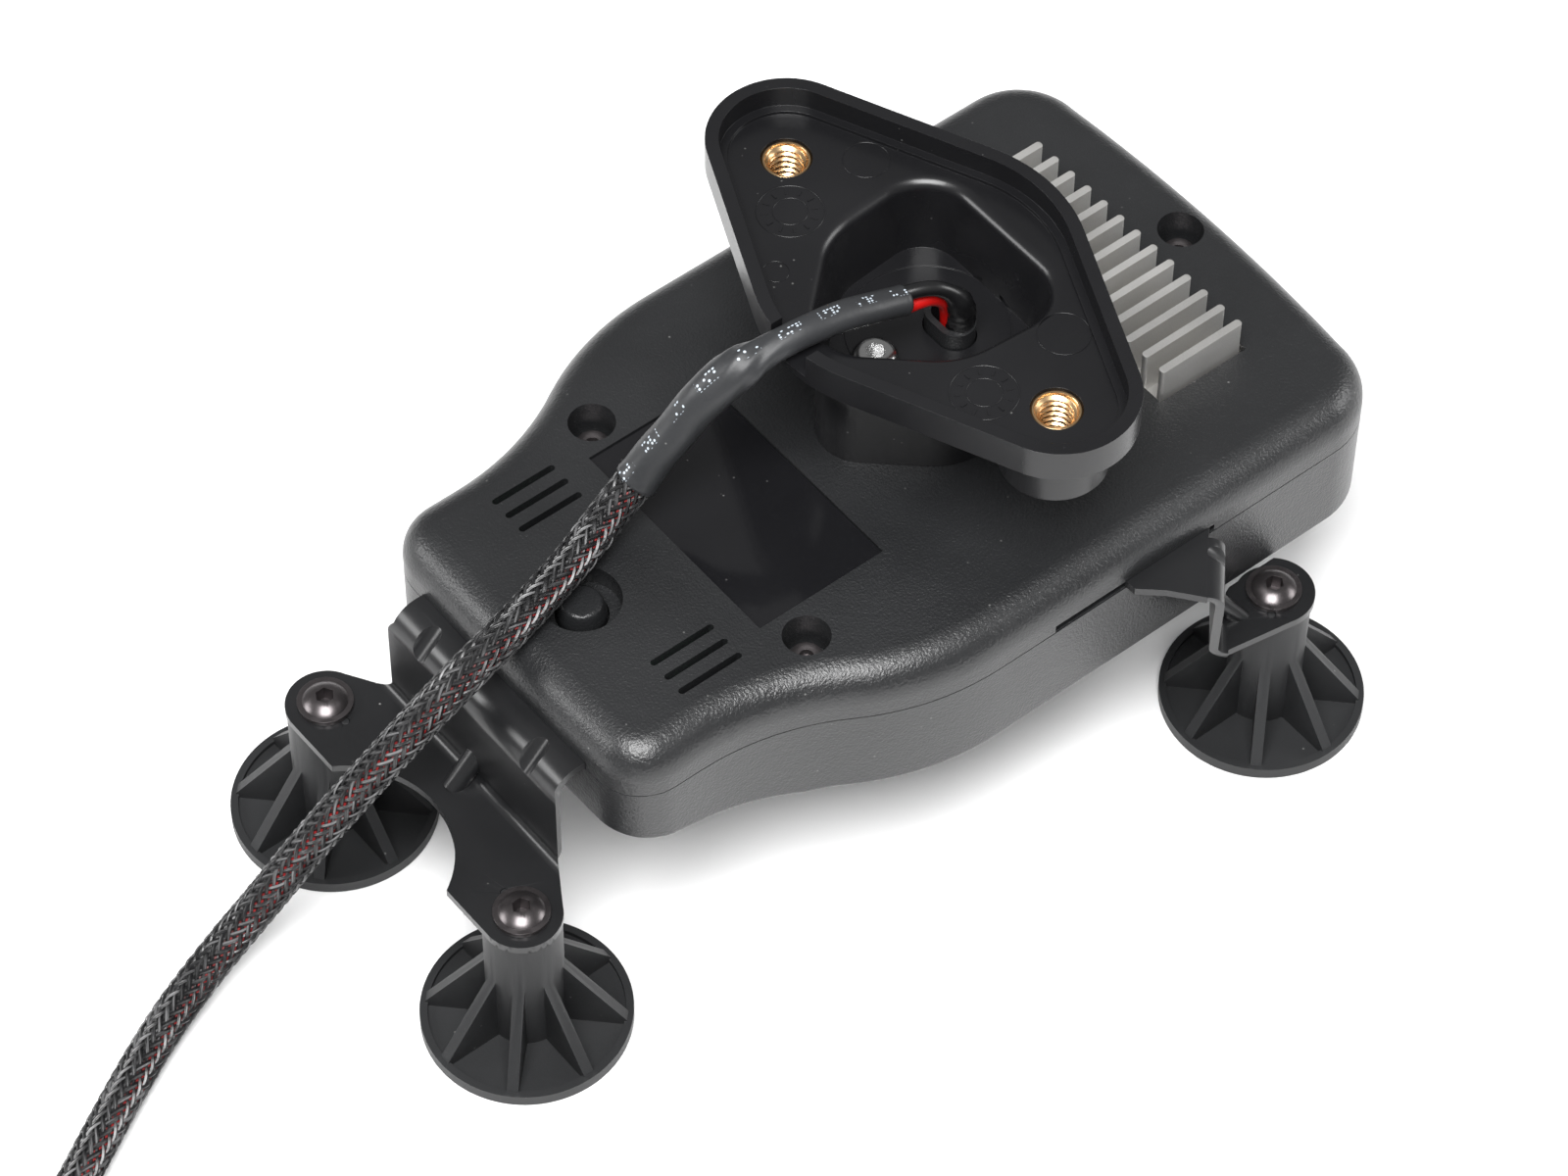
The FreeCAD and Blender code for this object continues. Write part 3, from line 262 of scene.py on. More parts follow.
# %% Route the cable and its coil
CABLE_ROUTE = [(-25.2, 8.0, 66.2), (-31.2, 7.6, 62.6), (-39.0, 5.0, 61.2), (-49.0, 2.0, 60.9),
               (-59.5, -0.6, 60.4), (-69.8, -0.4, 55.2), (-79.8, 2.4, 43.8), (-90.4, 6.8, 28.8),
               (-100.6, 10.0, 14.6), (-111.5, 10.4, 6.2), (-124.5, 6.4, 3.42),
               (-138.7, -1.4, 3.35), (-151.4, -9.0, 3.35), (-170.0, -20.0, 3.35),
               (-191.0, -32.4, 3.35)]
COIL_R, COIL_RISE = 38.0, 15.05
COIL_TURNS = 2.25
PER_TURN = 16
heading = Vector((-0.861, -0.509, 0.0)).normalized()
left_of = Vector((-heading.y, heading.x, 0.0))
coil_mid = Vector(CABLE_ROUTE[-1]) + left_of * COIL_R
coil_points = []
spread = COIL_R / math.cos(math.pi / PER_TURN)
steps = int(COIL_TURNS * PER_TURN)
for i in range(steps):
    turn = 2 * math.pi * (i + 0.5) / PER_TURN
    out = -left_of * math.cos(turn) + heading * math.sin(turn)
    spot = coil_mid + out * spread
    coil_points.append((spot.x, spot.y, coil_mid.z + COIL_RISE * (i + 0.5) / steps))
tail_from = coil_mid + heading * COIL_R
TAIL_STEPS = [(0.0, 18.4), (18.0, 17.0), (34.0, 12.4), (48.0, 8.4), (58.0, 7.2)]
tail_points = []
for run, z in TAIL_STEPS:
    spot = tail_from + left_of * run
    tail_points.append((spot.x, spot.y, z))
cable_line = spline_path("cable_route", CABLE_ROUTE[:-1] + coil_points + tail_points[1:])
cable_core_path = evenly(cable_line, 0.0016)

# %% [markdown]
# ## Core and braid
# Under the braid lies a dark core with the red wire showing along one side. The braid itself is
# sixteen carriers each way round, woven over two and under two, each a thin closed ribbon that
# rises and dips as it crosses the others. Real ribbons give the true broken outline of a braid.

# %% Make the core and the braid
CORE_R = 2.85 * MM
cable_core = tube("cable_core", cable_core_path, lambda s, angle: CORE_R, 18)
CARRIERS = 16
LEAN = math.radians(27.0)
BRAID_R = 2.98 * MM
HALF_WIDTH, CREST, BELLY, WEAVE_LIFT = 0.40 * MM, 0.20 * MM, 0.05 * MM, 0.17 * MM
ROUND_U = ((0.0, 0.5), (0.5, 1.0), (1.0, 0.5), (0.5, 0.0))
FINE_UNTIL, FINE_STEP, COARSE_STEP = 0.215, 0.0005, 0.0012
dense, dense_run = evenly(cable_line, 0.0001)
marks = np.concatenate([np.arange(0.0, FINE_UNTIL, FINE_STEP),
                        np.arange(FINE_UNTIL, dense_run[-1], COARSE_STEP), dense_run[-1:]])
braid_path = (np.stack([np.interp(marks, dense_run, dense[:, i]) for i in range(3)], axis=1),
              marks)


def braid(name, way):
    """All the carriers that wind one way round the cable, as one mesh of closed ribbons."""
    spots, s = braid_path
    side, other = carried_frames(spots)
    rate = math.tan(LEAN) / BRAID_R
    crossing = s * CARRIERS * rate / math.pi
    half = HALF_WIDTH / BRAID_R
    section = [(-half, 0.0), (0.0, CREST), (half, 0.0), (0.0, -BELLY)]
    points, faces, uvs = [], [], []
    count = len(s)
    for k in range(CARRIERS):
        phase = 2 * math.pi * (2 * k + way * crossing + 0.5) / 4
        lift = way * WEAVE_LIFT * np.clip(1.5 * np.sin(phase), -1, 1)
        centre = 2 * math.pi * k / CARRIERS + way * rate * s
        corners = []
        for shift, rise in section:
            a = centre + shift
            out = np.cos(a)[:, None] * side + np.sin(a)[:, None] * other
            corners.append(spots + out * (BRAID_R + lift + rise)[:, None])
        points.append(np.stack(corners, axis=1).reshape(-1, 3))
        start = k * count * 4
        v_offset = float(rng.random())
        for i in range(count - 1):
            here, ahead = start + i * 4, start + (i + 1) * 4
            v0, v1 = s[i] + v_offset, s[i + 1] + v_offset
            for j, (u0, u1) in enumerate(ROUND_U):
                n = (j + 1) % 4
                faces.append((here + j, ahead + j, ahead + n, here + n))
                uvs += [(u0, v0), (u0, v1), (u1, v1), (u1, v0)]
        faces.append((start, start + 1, start + 2, start + 3))
        end = start + (count - 1) * 4
        faces.append((end + 3, end + 2, end + 1, end))
        uvs += [(0.5, 0.0)] * 8
    return mesh_piece(name, np.concatenate(points), faces, uvs)


braid_left = braid("braid_left_hand", 1)
braid_right = braid("braid_right_hand", -1)
print("braid faces", len(braid_left.data.polygons) * 2)

# %% [markdown]
# Each free cord rides on the pod's body, and its CAD solids are hidden. The wires end inside the
# sleeve, the sleeve ends on the braid, and the cable ends in its plug.

# %% Attach the cords and hide their CAD solids
for piece in (black_wire, red_wire, shrink_sleeve, cable_core, braid_left, braid_right):
    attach(piece, "pod")
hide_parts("black_wire")
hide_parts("red_wire")
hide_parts("thin_sleeve", "wide_sleeve")
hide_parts("braided_cable", "cable_coil", "cable_tail")


print("cords declared", 4)

# %% [markdown]
# ## Crisp edges on the CAD pieces
# CAD meshes arrive as loose triangles, which shade as flat facets. A short Geometry Nodes tree
# welds them and marks only true corners as sharp. A narrow bevel then rounds those corners, since
# no moulded or sheared edge is perfectly sharp, and it is the small bright line along an edge that
# tells the eye how large a thing is.

# %% Build the welding tree
CORNER_FROM = math.radians(24.0)
BEVEL_FROM = math.radians(38.0)
WELD_GAP = 2e-6


def welding_tree():
    """Merges points that share a place, then marks the sharp edges."""
    tree = bpy.data.node_groups.new("weld_and_mark_corners", "GeometryNodeTree")
    tree.interface.new_socket("Geometry", in_out="INPUT", socket_type="NodeSocketGeometry")
    angle = tree.interface.new_socket("Corner angle", in_out="INPUT",
                                      socket_type="NodeSocketFloat")
    angle.default_value = CORNER_FROM
    tree.interface.new_socket("Geometry", in_out="OUTPUT", socket_type="NodeSocketGeometry")
    enter = tree.nodes.new("NodeGroupInput")
    leave = tree.nodes.new("NodeGroupOutput")
    merge = tree.nodes.new("GeometryNodeMergeByDistance")
    merge.inputs["Distance"].default_value = WELD_GAP
    edge = tree.nodes.new("GeometryNodeInputMeshEdgeAngle")
    test = tree.nodes.new("FunctionNodeCompare")
    test.operation = "GREATER_THAN"
    mark = tree.nodes.new("GeometryNodeStoreNamedAttribute")
    mark.data_type = "BOOLEAN"
    mark.domain = "EDGE"
    mark.inputs["Name"].default_value = "sharp_edge"
    smooth = tree.nodes.new("GeometryNodeSetShadeSmooth")
    tree.links.new(enter.outputs["Geometry"], merge.inputs["Geometry"])
    tree.links.new(merge.outputs["Geometry"], mark.inputs["Geometry"])
    tree.links.new(edge.outputs["Unsigned Angle"], test.inputs[0])
    tree.links.new(enter.outputs["Corner angle"], test.inputs[1])
    tree.links.new(test.outputs[0], mark.inputs["Value"])
    tree.links.new(mark.outputs["Geometry"], smooth.inputs["Geometry"])
    tree.links.new(smooth.outputs["Geometry"], leave.inputs["Geometry"])
    return tree


WELD = welding_tree()


def crisp(piece, bevel_mm=0.0):
    """Welds, bevels and shades a CAD piece with modifiers only."""
    weld = piece.modifiers.new("weld", "NODES")
    weld.node_group = WELD
    if bevel_mm:
        cut = piece.modifiers.new("edge", "BEVEL")
        cut.width = bevel_mm * MM
        cut.segments = 2
        cut.limit_method = "ANGLE"
        cut.angle_limit = BEVEL_FROM
        cut.miter_outer = "MITER_SHARP"
        cut.harden_normals = False
    even = piece.modifiers.new("even", "WEIGHTED_NORMAL")
    even.keep_sharp = not bevel_mm
    even.weight = 80


# %% [markdown]
# ## Bevel widths
# Widths are in millimetres. Thick mouldings take the widest, pressed sheet and screws a fine one.
# A piece that isn't listed is only welded, because its CAD shape has its rounding already.

# %% Weld, bevel and shade the CAD pieces
BEVELS = {
    "front_shell": 0.2, "mounting_flange": 0.35, "end_bracket": 0.2,
    "side_bracket_left": 0.2, "side_bracket_right": 0.2, "foot_end_left": 0.28,
    "foot_end_right": 0.28, "foot_side_left": 0.28, "foot_side_right": 0.28, "heat_sink": 0.12,
    "button_cap": 0.3, "foot_screws": 0.12, "flange_screws": 0.12, "case_screws": 0.1,
    "cable_plug": 0.4, "label_plate": 0.05, "terminal_block": 0.1, "power_chip": 0.1,
    "switch_case": 0.1,
}
for name, piece in nodes.items():
    crisp(piece, BEVELS.get(name, 0.0))
print("crisp pieces", len(nodes), "of them bevelled", len(BEVELS))

# %% [markdown]
# ## Shader groups
# Two effects are shared by most finishes, so each is a node group with its own inputs. Grain gives
# the fine pitted texture of spark-eroded mould steel. Handling gives the faint dust, fibres and
# rubbed tone that any dark plastic shows under a soft light.

# %% Build the shared groups
def new_group(name, inputs, outputs):
    """An empty shader group with named sockets, and its two end nodes."""
    group = bpy.data.node_groups.new(name, "ShaderNodeTree")
    for label, kind, value in inputs:
        made = group.interface.new_socket(label, in_out="INPUT", socket_type=kind)
        if value is not None:
            made.default_value = value
    for label, kind in outputs:
        group.interface.new_socket(label, in_out="OUTPUT", socket_type=kind)
    return group, group.nodes.new("NodeGroupInput"), group.nodes.new("NodeGroupOutput")


def math_node(tree, operation, a, b=None):
    """One Math node. Each input is a number or another node's output."""
    node = tree.nodes.new("ShaderNodeMath")
    node.operation = operation
    for slot_number, value in enumerate((a, b)):
        if value is None:
            continue
        if isinstance(value, (int, float)):
            node.inputs[slot_number].default_value = value
        else:
            tree.links.new(value, node.inputs[slot_number])
    return node.outputs[0]


def ramp(tree, value, low, high):
    """A mask that rises from 0 to 1 between two values."""
    node = tree.nodes.new("ShaderNodeMapRange")
    node.inputs["From Min"].default_value = low
    node.inputs["From Max"].default_value = high
    tree.links.new(value, node.inputs["Value"])
    return node.outputs["Result"]


def noise(tree, vector, scale, detail=2.0, rough=0.5):
    """Cloudy noise from 0 to 1, with scale in clouds per metre."""
    node = tree.nodes.new("ShaderNodeTexNoise")
    if isinstance(scale, (int, float)):
        node.inputs["Scale"].default_value = scale
    else:
        tree.links.new(scale, node.inputs["Scale"])
    node.inputs["Detail"].default_value = detail
    node.inputs["Roughness"].default_value = rough
    tree.links.new(vector, node.inputs["Vector"])
    return node.outputs["Fac"]


def grain_group():
    """Fine pits: a height for bump and a tone that follows them."""
    group, enter, leave = new_group(
        "mould_grain",
        [("Place", "NodeSocketVector", None), ("Pits per metre", "NodeSocketFloat", 3000.0)],
        [("Height", "NodeSocketFloat"), ("Tone", "NodeSocketFloat")])
    fine = noise(group, enter.outputs["Place"], enter.outputs["Pits per metre"], 2.0, 0.6)
    wide_scale = math_node(group, "MULTIPLY", enter.outputs["Pits per metre"], 0.23)
    broad = noise(group, enter.outputs["Place"], wide_scale, 2.0)
    height = math_node(group, "ADD", fine, math_node(group, "MULTIPLY", broad, 0.5))
    group.links.new(height, leave.inputs["Height"])
    group.links.new(ramp(group, fine, 0.35, 0.7), leave.inputs["Tone"])
    return group


def handling_group():
    """Dust specks and slow cloudy rubbing."""
    group, enter, leave = new_group(
        "handling",
        [("Place", "NodeSocketVector", None), ("Specks", "NodeSocketFloat", 0.5)],
        [("Dust", "NodeSocketFloat"), ("Rub", "NodeSocketFloat")])
    cells = group.nodes.new("ShaderNodeTexVoronoi")
    cells.inputs["Scale"].default_value = 330.0
    group.links.new(enter.outputs["Place"], cells.inputs["Vector"])
    near = ramp(group, cells.outputs["Distance"], 0.075, 0.035)
    some = noise(group, enter.outputs["Place"], 90.0, 3.0)
    chosen = ramp(group, some, 0.52, 0.60)
    specks = math_node(group, "MULTIPLY", near, chosen)
    dust = math_node(group, "MULTIPLY", specks, enter.outputs["Specks"])
    group.links.new(dust, leave.inputs["Dust"])
    group.links.new(ramp(group, noise(group, enter.outputs["Place"], 38.0, 4.0), 0.3, 0.75),
                    leave.inputs["Rub"])
    return group


GRAIN = grain_group()
HANDLING = handling_group()
print("shared groups", GRAIN.name, "and", HANDLING.name)

# %% [markdown]
# ## Finishes
# Most pieces share one recipe with their own numbers: a base tone that varies a little, a
# roughness that follows the grain, dust specks and a bump. The few special ones (brass, braid,
# shrink tube, circuit board) add their own pattern to it.

# %% The recipe for a moulded or coated surface
def mix_color(tree, factor, a, b):
    """Blends two colours. Each is a tuple or another node's output."""
    node = tree.nodes.new("ShaderNodeMix")
    node.data_type = "RGBA"
    for socket, value in ((node.inputs[6], a), (node.inputs[7], b)):
        if isinstance(value, tuple):
            socket.default_value = (*value, 1.0)
        else:
            tree.links.new(value, socket)
    if isinstance(factor, (int, float)):
        node.inputs[0].default_value = factor
    else:
        tree.links.new(factor, node.inputs[0])
    return node.outputs[2]


def blend_value(tree, factor, low, high):
    """Carries a mask from 0 and 1 over to two values."""
    node = tree.nodes.new("ShaderNodeMapRange")
    node.inputs["To Min"].default_value = low
    node.inputs["To Max"].default_value = high
    tree.links.new(factor, node.inputs["Value"])
    return node.outputs["Result"]


def raised(made, height, distance_mm, strength):
    """Feeds a height into the finish as bump, and to its shader as the normal."""
    tree = made.node_tree
    bump = tree.nodes.new("ShaderNodeBump")
    bump.inputs["Strength"].default_value = strength
    bump.inputs["Distance"].default_value = distance_mm * MM
    tree.links.new(height, bump.inputs["Height"])
    tree.links.new(bump.outputs["Normal"], tree.nodes["Principled BSDF"].inputs["Normal"])


DUST_COLOR = (0.32, 0.32, 0.31)


def surface(name, color, rough, pits=3000.0, depth=0.0, specks=0.4, metallic=0.0, level=0.5,
            coat=0.0, vary=0.18):
    """A procedural finish. rough is (low, high), depth is the grain's bump in millimetres."""
    made = bpy.data.materials.new(name)
    made.use_nodes = True
    tree = made.node_tree
    shader = tree.nodes["Principled BSDF"]
    place = tree.nodes.new("ShaderNodeTexCoord").outputs["Object"]
    grain = tree.nodes.new("ShaderNodeGroup")
    grain.node_tree = GRAIN
    grain.inputs["Pits per metre"].default_value = pits
    tree.links.new(place, grain.inputs["Place"])
    touched = tree.nodes.new("ShaderNodeGroup")
    touched.node_tree = HANDLING
    touched.inputs["Specks"].default_value = specks
    tree.links.new(place, touched.inputs["Place"])
    dark = tuple(c * (1 - vary) for c in color)
    light = tuple(min(1.0, c * (1 + vary)) for c in color)
    tone = mix_color(tree, touched.outputs["Rub"], dark, light)
    toned = mix_color(tree, math_node(tree, "MULTIPLY", grain.outputs["Tone"], 0.35), tone, light)
    dusty = mix_color(tree, touched.outputs["Dust"], toned, DUST_COLOR)
    tree.links.new(dusty, shader.inputs["Base Color"])
    low, high = rough
    base_rough = blend_value(tree, touched.outputs["Rub"], low, high)
    more = math_node(tree, "MULTIPLY", touched.outputs["Dust"], 0.3)
    tree.links.new(math_node(tree, "ADD", base_rough, more), shader.inputs["Roughness"])
    shader.inputs["Metallic"].default_value = metallic
    shader.inputs["Specular IOR Level"].default_value = level
    shader.inputs["Coat Weight"].default_value = coat
    shader.inputs["Coat Roughness"].default_value = 0.18
    if depth:
        raised(made, grain.outputs["Height"], depth, 0.6)
    return made


# %% [markdown]
# ## A finish for each material
# Each row gives a base colour, a low and high roughness, the grain's pits in a metre and their
# depth in millimetres, and how much dust lies on it. Blacks differ more in gloss than in colour.

# %% List the plain finishes
FINISHES = {
    "charcoal_plastic": surface("charcoal_plastic", (0.013, 0.0135, 0.0145), (0.31, 0.39), 2100,
                                0.20, 0.35, level=0.7),
    "flange_plastic": surface("flange_plastic", (0.008, 0.008, 0.009), (0.24, 0.33), 1900, 0.014,
                              0.30, level=0.5),
    "foot_plastic": surface("foot_plastic", (0.016, 0.0165, 0.0175), (0.42, 0.55), 3600, 0.030,
                            0.5, level=0.4),
    "button_plastic": surface("button_plastic", (0.014, 0.0145, 0.0155), (0.28, 0.36), 2100, 0.16,
                              0.35, level=0.42),
    "label_film": surface("label_film", (0.008, 0.008, 0.009), (0.07, 0.12), 900, 0.003, 0.6,
                          level=0.5),
    "black_sheet": surface("black_sheet", (0.010, 0.0102, 0.011), (0.26, 0.36), 1500, 0.012, 0.6,
                           level=0.5, coat=0.15),
    "fin_metal": surface("fin_metal", (0.68, 0.67, 0.65), (0.42, 0.56), 3800, 0.04, 0.1,
                         metallic=0.85, vary=0.12),
    "screw_steel": surface("screw_steel", (0.62, 0.62, 0.62), (0.16, 0.26), 1200, 0.004, 0.15,
                           metallic=1.0, vary=0.08),
    "oxide_steel": surface("oxide_steel", (0.110, 0.100, 0.102), (0.24, 0.36), 2400, 0.008, 0.35,
                           metallic=0.9, vary=0.25),
    "board_laminate": surface("board_laminate", (0.02, 0.10, 0.045), (0.25, 0.4), 500, 0.02, 0.2),
    "chip_epoxy": surface("chip_epoxy", (0.02, 0.02, 0.021), (0.5, 0.65), 5000, 0.02, 0.2),
    "gap_pad": surface("gap_pad", (0.35, 0.37, 0.40), (0.7, 0.85), 2400, 0.05, 0.2),
    "terminal_plastic": surface("terminal_plastic", (0.03, 0.14, 0.06), (0.35, 0.5), 2600, 0.02,
                                0.2),
    "soft_rubber": surface("soft_rubber", (0.012, 0.012, 0.013), (0.55, 0.7), 2600, 0.03, 0.3),
    "black_insulation": surface("black_insulation", (0.007, 0.007, 0.0075), (0.24, 0.36), 2200,
                                0.015, 0.3, level=0.55),
    # The red is kept dull: partly the insulation's own red, partly painted shade for the shadow
    # the wire runs through in the flange's slot.
    "red_insulation": surface("red_insulation", (0.50, 0.008, 0.007), (0.26, 0.36), 2200, 0.012,
                              0.1, level=0.5, vary=0.10),
    "plug_plastic": surface("plug_plastic", (0.013, 0.013, 0.014), (0.35, 0.5), 3000, 0.03, 0.3),
}
print("plain finishes", len(FINISHES))

# %% [markdown]
# ## Brass, braid and shrink tube
# Brass keeps the fine rings of the lathe. The braid's ribbons are bundles of clear and black
# monofilament: stripes across each ribbon give single filaments, some painted grey, which is
# partly the clear filament's own colour and partly a painted glint; the creases between filaments
# get painted shade. Shrink tube is grey, dusty with talc, and carries a row of plain printed dots.

# %% Special finishes
LATHE_RINGS = 26000.0
PRINT_SIDE = 0.74  # where round the sleeve its printed row lies, as a share of a turn
DOT_LENGTH = 0.00062
DOTS_ROUND = 30.0
INK = (0.50, 0.56, 0.62)
CORE_BLACK, CORE_RED = (0.004, 0.004, 0.004), (0.26, 0.010, 0.011)


def split(tree, vector):
    """The three parts of a vector."""
    node = tree.nodes.new("ShaderNodeSeparateXYZ")
    tree.links.new(vector, node.inputs[0])
    return node.outputs


def brass_finish():
    """Turned brass: the recipe with fine level rings."""
    made = surface("insert_brass", (0.74, 0.50, 0.27), (0.24, 0.36), 1500, 0.0, 0.1, metallic=1.0,
                   vary=0.10)
    tree = made.node_tree
    place = tree.nodes.new("ShaderNodeTexCoord").outputs["Object"]
    rings = math_node(tree, "MULTIPLY", split(tree, place)[2], LATHE_RINGS)
    raised(made, math_node(tree, "SINE", rings), 0.006, 0.4)
    return made


def braid_finish():
    """Grey and black filament stripes: grey is part clear filament, part painted glint."""
    made = bpy.data.materials.new("braid_filament")
    made.use_nodes = True
    tree = made.node_tree
    shader = tree.nodes["Principled BSDF"]
    coords = tree.nodes.new("ShaderNodeTexCoord")
    u, v, _ = split(tree, coords.outputs["UV"])
    turns = math_node(tree, "MULTIPLY", u, 2 * math.pi)
    wave = math_node(tree, "ABSOLUTE", math_node(tree, "SINE", turns))
    which = math_node(tree, "FLOOR", math_node(tree, "MULTIPLY", u, 2.0))
    seed = tree.nodes.new("ShaderNodeCombineXYZ")
    tree.links.new(which, seed.inputs[0])
    tree.links.new(math_node(tree, "MULTIPLY", v, 90.0), seed.inputs[1])
    pick = noise(tree, seed.outputs[0], 1.0, 1.0)
    # light picks the stripes painted grey: partly clear filament, partly painted glint.
    light = ramp(tree, pick, 0.50, 0.62)
    shade = mix_color(tree, light, (0.012, 0.012, 0.013), (0.14, 0.14, 0.143))
    # edge paints shade into the creases between stripes, near black where the wave is low.
    edge = mix_color(tree, ramp(tree, wave, 0.1, 0.55), (0.003, 0.003, 0.003), shade)
    tree.links.new(edge, shader.inputs["Base Color"])
    tree.links.new(blend_value(tree, pick, 0.27, 0.42), shader.inputs["Roughness"])
    shader.inputs["Specular IOR Level"].default_value = 0.6
    raised(made, wave, 0.09, 0.9)
    return made


def core_finish():
    """The dark core, with the red wire as a stripe that sways a little along it."""
    made = surface("cable_core", CORE_BLACK, (0.5, 0.6), 2600, 0.02, 0.0)
    tree = made.node_tree
    shader = tree.nodes["Principled BSDF"]
    coords = tree.nodes.new("ShaderNodeTexCoord")
    u, v, _ = split(tree, coords.outputs["UV"])
    swing = math_node(tree, "SINE", math_node(tree, "MULTIPLY", v, 60.0))
    swayed = math_node(tree, "ADD", u, math_node(tree, "MULTIPLY", swing, 0.05))
    off = math_node(tree, "ABSOLUTE", math_node(tree, "SUBTRACT", swayed, 0.60))
    color = mix_color(tree, ramp(tree, off, 0.11, 0.05), CORE_BLACK, CORE_RED)
    tree.links.new(color, shader.inputs["Base Color"])
    return made


def shrink_finish():
    """Grey tube with a row of printed dots: a grid of discs, thinned at random."""
    made = surface("shrink_tube", (0.026, 0.027, 0.029), (0.36, 0.50), 1500, 0.0, 0.5, level=0.45)
    tree = made.node_tree
    shader = tree.nodes["Principled BSDF"]
    coords = tree.nodes.new("ShaderNodeTexCoord")
    u, v, _ = split(tree, coords.outputs["UV"])
    along = math_node(tree, "MULTIPLY", v, 1 / DOT_LENGTH)
    round_it = math_node(tree, "MULTIPLY", u, DOTS_ROUND)
    fx = math_node(tree, "SUBTRACT", math_node(tree, "FRACT", along), 0.5)
    fy = math_node(tree, "SUBTRACT", math_node(tree, "FRACT", round_it), 0.5)
    far = math_node(tree, "SQRT", math_node(tree, "ADD", math_node(tree, "MULTIPLY", fx, fx),
                                            math_node(tree, "MULTIPLY", fy, fy)))
    dot = ramp(tree, far, 0.40, 0.26)
    row = math_node(tree, "ABSOLUTE", math_node(tree, "SUBTRACT", u, PRINT_SIDE))
    band = ramp(tree, row, 0.052, 0.048)
    marks = tree.nodes.new("ShaderNodeCombineXYZ")
    tree.links.new(math_node(tree, "FLOOR", along), marks.inputs[0])
    tree.links.new(math_node(tree, "FLOOR", round_it), marks.inputs[1])
    pick = tree.nodes.new("ShaderNodeTexWhiteNoise")
    pick.noise_dimensions = "2D"
    tree.links.new(marks.outputs[0], pick.inputs["Vector"])
    kept = ramp(tree, pick.outputs["Value"], 0.55, 0.56)
    gaps = ramp(tree, math_node(tree, "SINE", math_node(tree, "MULTIPLY", v, 900.0)), -0.2, -0.1)
    ink = math_node(tree, "MULTIPLY", math_node(tree, "MULTIPLY", dot, band),
                    math_node(tree, "MULTIPLY", kept, gaps))
    before = shader.inputs["Base Color"].links[0].from_socket
    tree.links.new(mix_color(tree, ink, before, INK), shader.inputs["Base Color"])
    place = coords.outputs["Object"]
    raised(made, noise(tree, place, 700.0, 4.0), 0.10, 0.5)
    return made


FINISHES["insert_brass"] = brass_finish()
FINISHES["shrink_tube"] = shrink_finish()
FINISHES["braid"] = braid_finish()
CORE = core_finish()
print("special finishes ready")

# %% [markdown]
# ## Put the finishes on
# The CAD record names a material slot for each node, so one loop dresses all of them. The cord
# pieces made above are dressed by hand.

# %% Put a finish on every piece
def dress(piece, material):
    """Leaves the piece with this one material."""
    piece.data.materials.clear()
    piece.data.materials.append(material)


slot_of = {row["node"]: row["material_slot"] for row in frame["record"]["subparts"]}
for name, piece in nodes.items():
    dress(piece, FINISHES[slot_of[name]])
for piece, material in (
        (black_wire, FINISHES["black_insulation"]), (red_wire, FINISHES["red_insulation"]),
        (shrink_sleeve, FINISHES["shrink_tube"]), (cable_core, CORE),
        (braid_left, FINISHES["braid"]), (braid_right, FINISHES["braid"])):
    dress(piece, material)
print("finishes", len(FINISHES) + 1)

# %% [markdown]
# ## Threaded inserts
# A brass insert is a short bush with a coarse thread. Its bore is a height field: the radius at
# each place depends on angle and height together, which is all that a screw thread is.

# %% Make the brass inserts
BUSH_R = 4.29  # the radius of the bush in CAD
SLIM_R = 4.28  # a hair slimmer, so that it never shares a surface with its pocket
MINOR_R, THREAD_DEPTH, PITCH = 2.72, 0.55, 1.25
LEAD_IN, LEAD_DEEP = 0.95, 0.9


def threaded_insert(name, x, y, top, deep):
    """A closed bush with a threaded bore and a funnel-shaped lead-in, in millimetres."""
    around, levels = 60, 90
    angle = np.linspace(0, 2 * math.pi, around, endpoint=False)
    z = np.linspace(top - deep, top, levels)
    turn = (z[:, None] / PITCH - angle[None, :] / (2 * math.pi)) % 1.0
    cut = np.clip(1.25 - np.abs(turn - 0.5) * 3.6, 0, 1) * THREAD_DEPTH
    ease = np.clip((top - z) / LEAD_DEEP, 0, 1)[:, None]
    radius = (MINOR_R + cut * ease + (1 - ease) * LEAD_IN) * np.ones((levels, around))
    inner = np.stack([x + radius * np.cos(angle), y + radius * np.sin(angle),
                      np.repeat(z[:, None], around, 1)], axis=2).reshape(-1, 3)
    rims = []
    for r, height in ((SLIM_R - 0.35, top), (SLIM_R, top - 0.3), (SLIM_R, top - deep)):
        rims.append(np.stack([x + r * np.cos(angle), y + r * np.sin(angle),
                              np.full(around, height)], axis=1))
    points = np.concatenate([inner] + rims) * MM
    faces = []
    for i in range(levels - 1):
        for j in range(around):
            k = (j + 1) % around
            low, high = i * around, (i + 1) * around
            faces.append((low + j, high + j, high + k, low + k))
    order = [(levels - 1), levels, levels + 1, levels + 2, 0]
    for a, b in zip(order, order[1:]):
        for j in range(around):
            k = (j + 1) % around
            faces.append((a * around + j, b * around + j, b * around + k, a * around + k))
    return mesh_piece(name, points, faces)


insert_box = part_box("flange_inserts")
insert_top = insert_box[1][2] / MM
insert_deep = (insert_box[1][2] - insert_box[0][2]) / MM
insert_x = (insert_box[0][0] + insert_box[1][0]) / 2 / MM
insert_y = insert_box[1][1] / MM - BUSH_R
for side, label in ((1, "left"), (-1, "right")):
    bush = threaded_insert("threaded_insert_" + label, insert_x, side * insert_y, insert_top,
                           insert_deep)
    sharp = bush.modifiers.new("corners", "EDGE_SPLIT")
    sharp.split_angle = math.radians(40)
    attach(bush, "pod")
    dress(bush, FINISHES["insert_brass"])
    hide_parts("flange_inserts")
print("insert centre", round(insert_x, 2), round(insert_y, 2), "top", round(insert_top, 2))
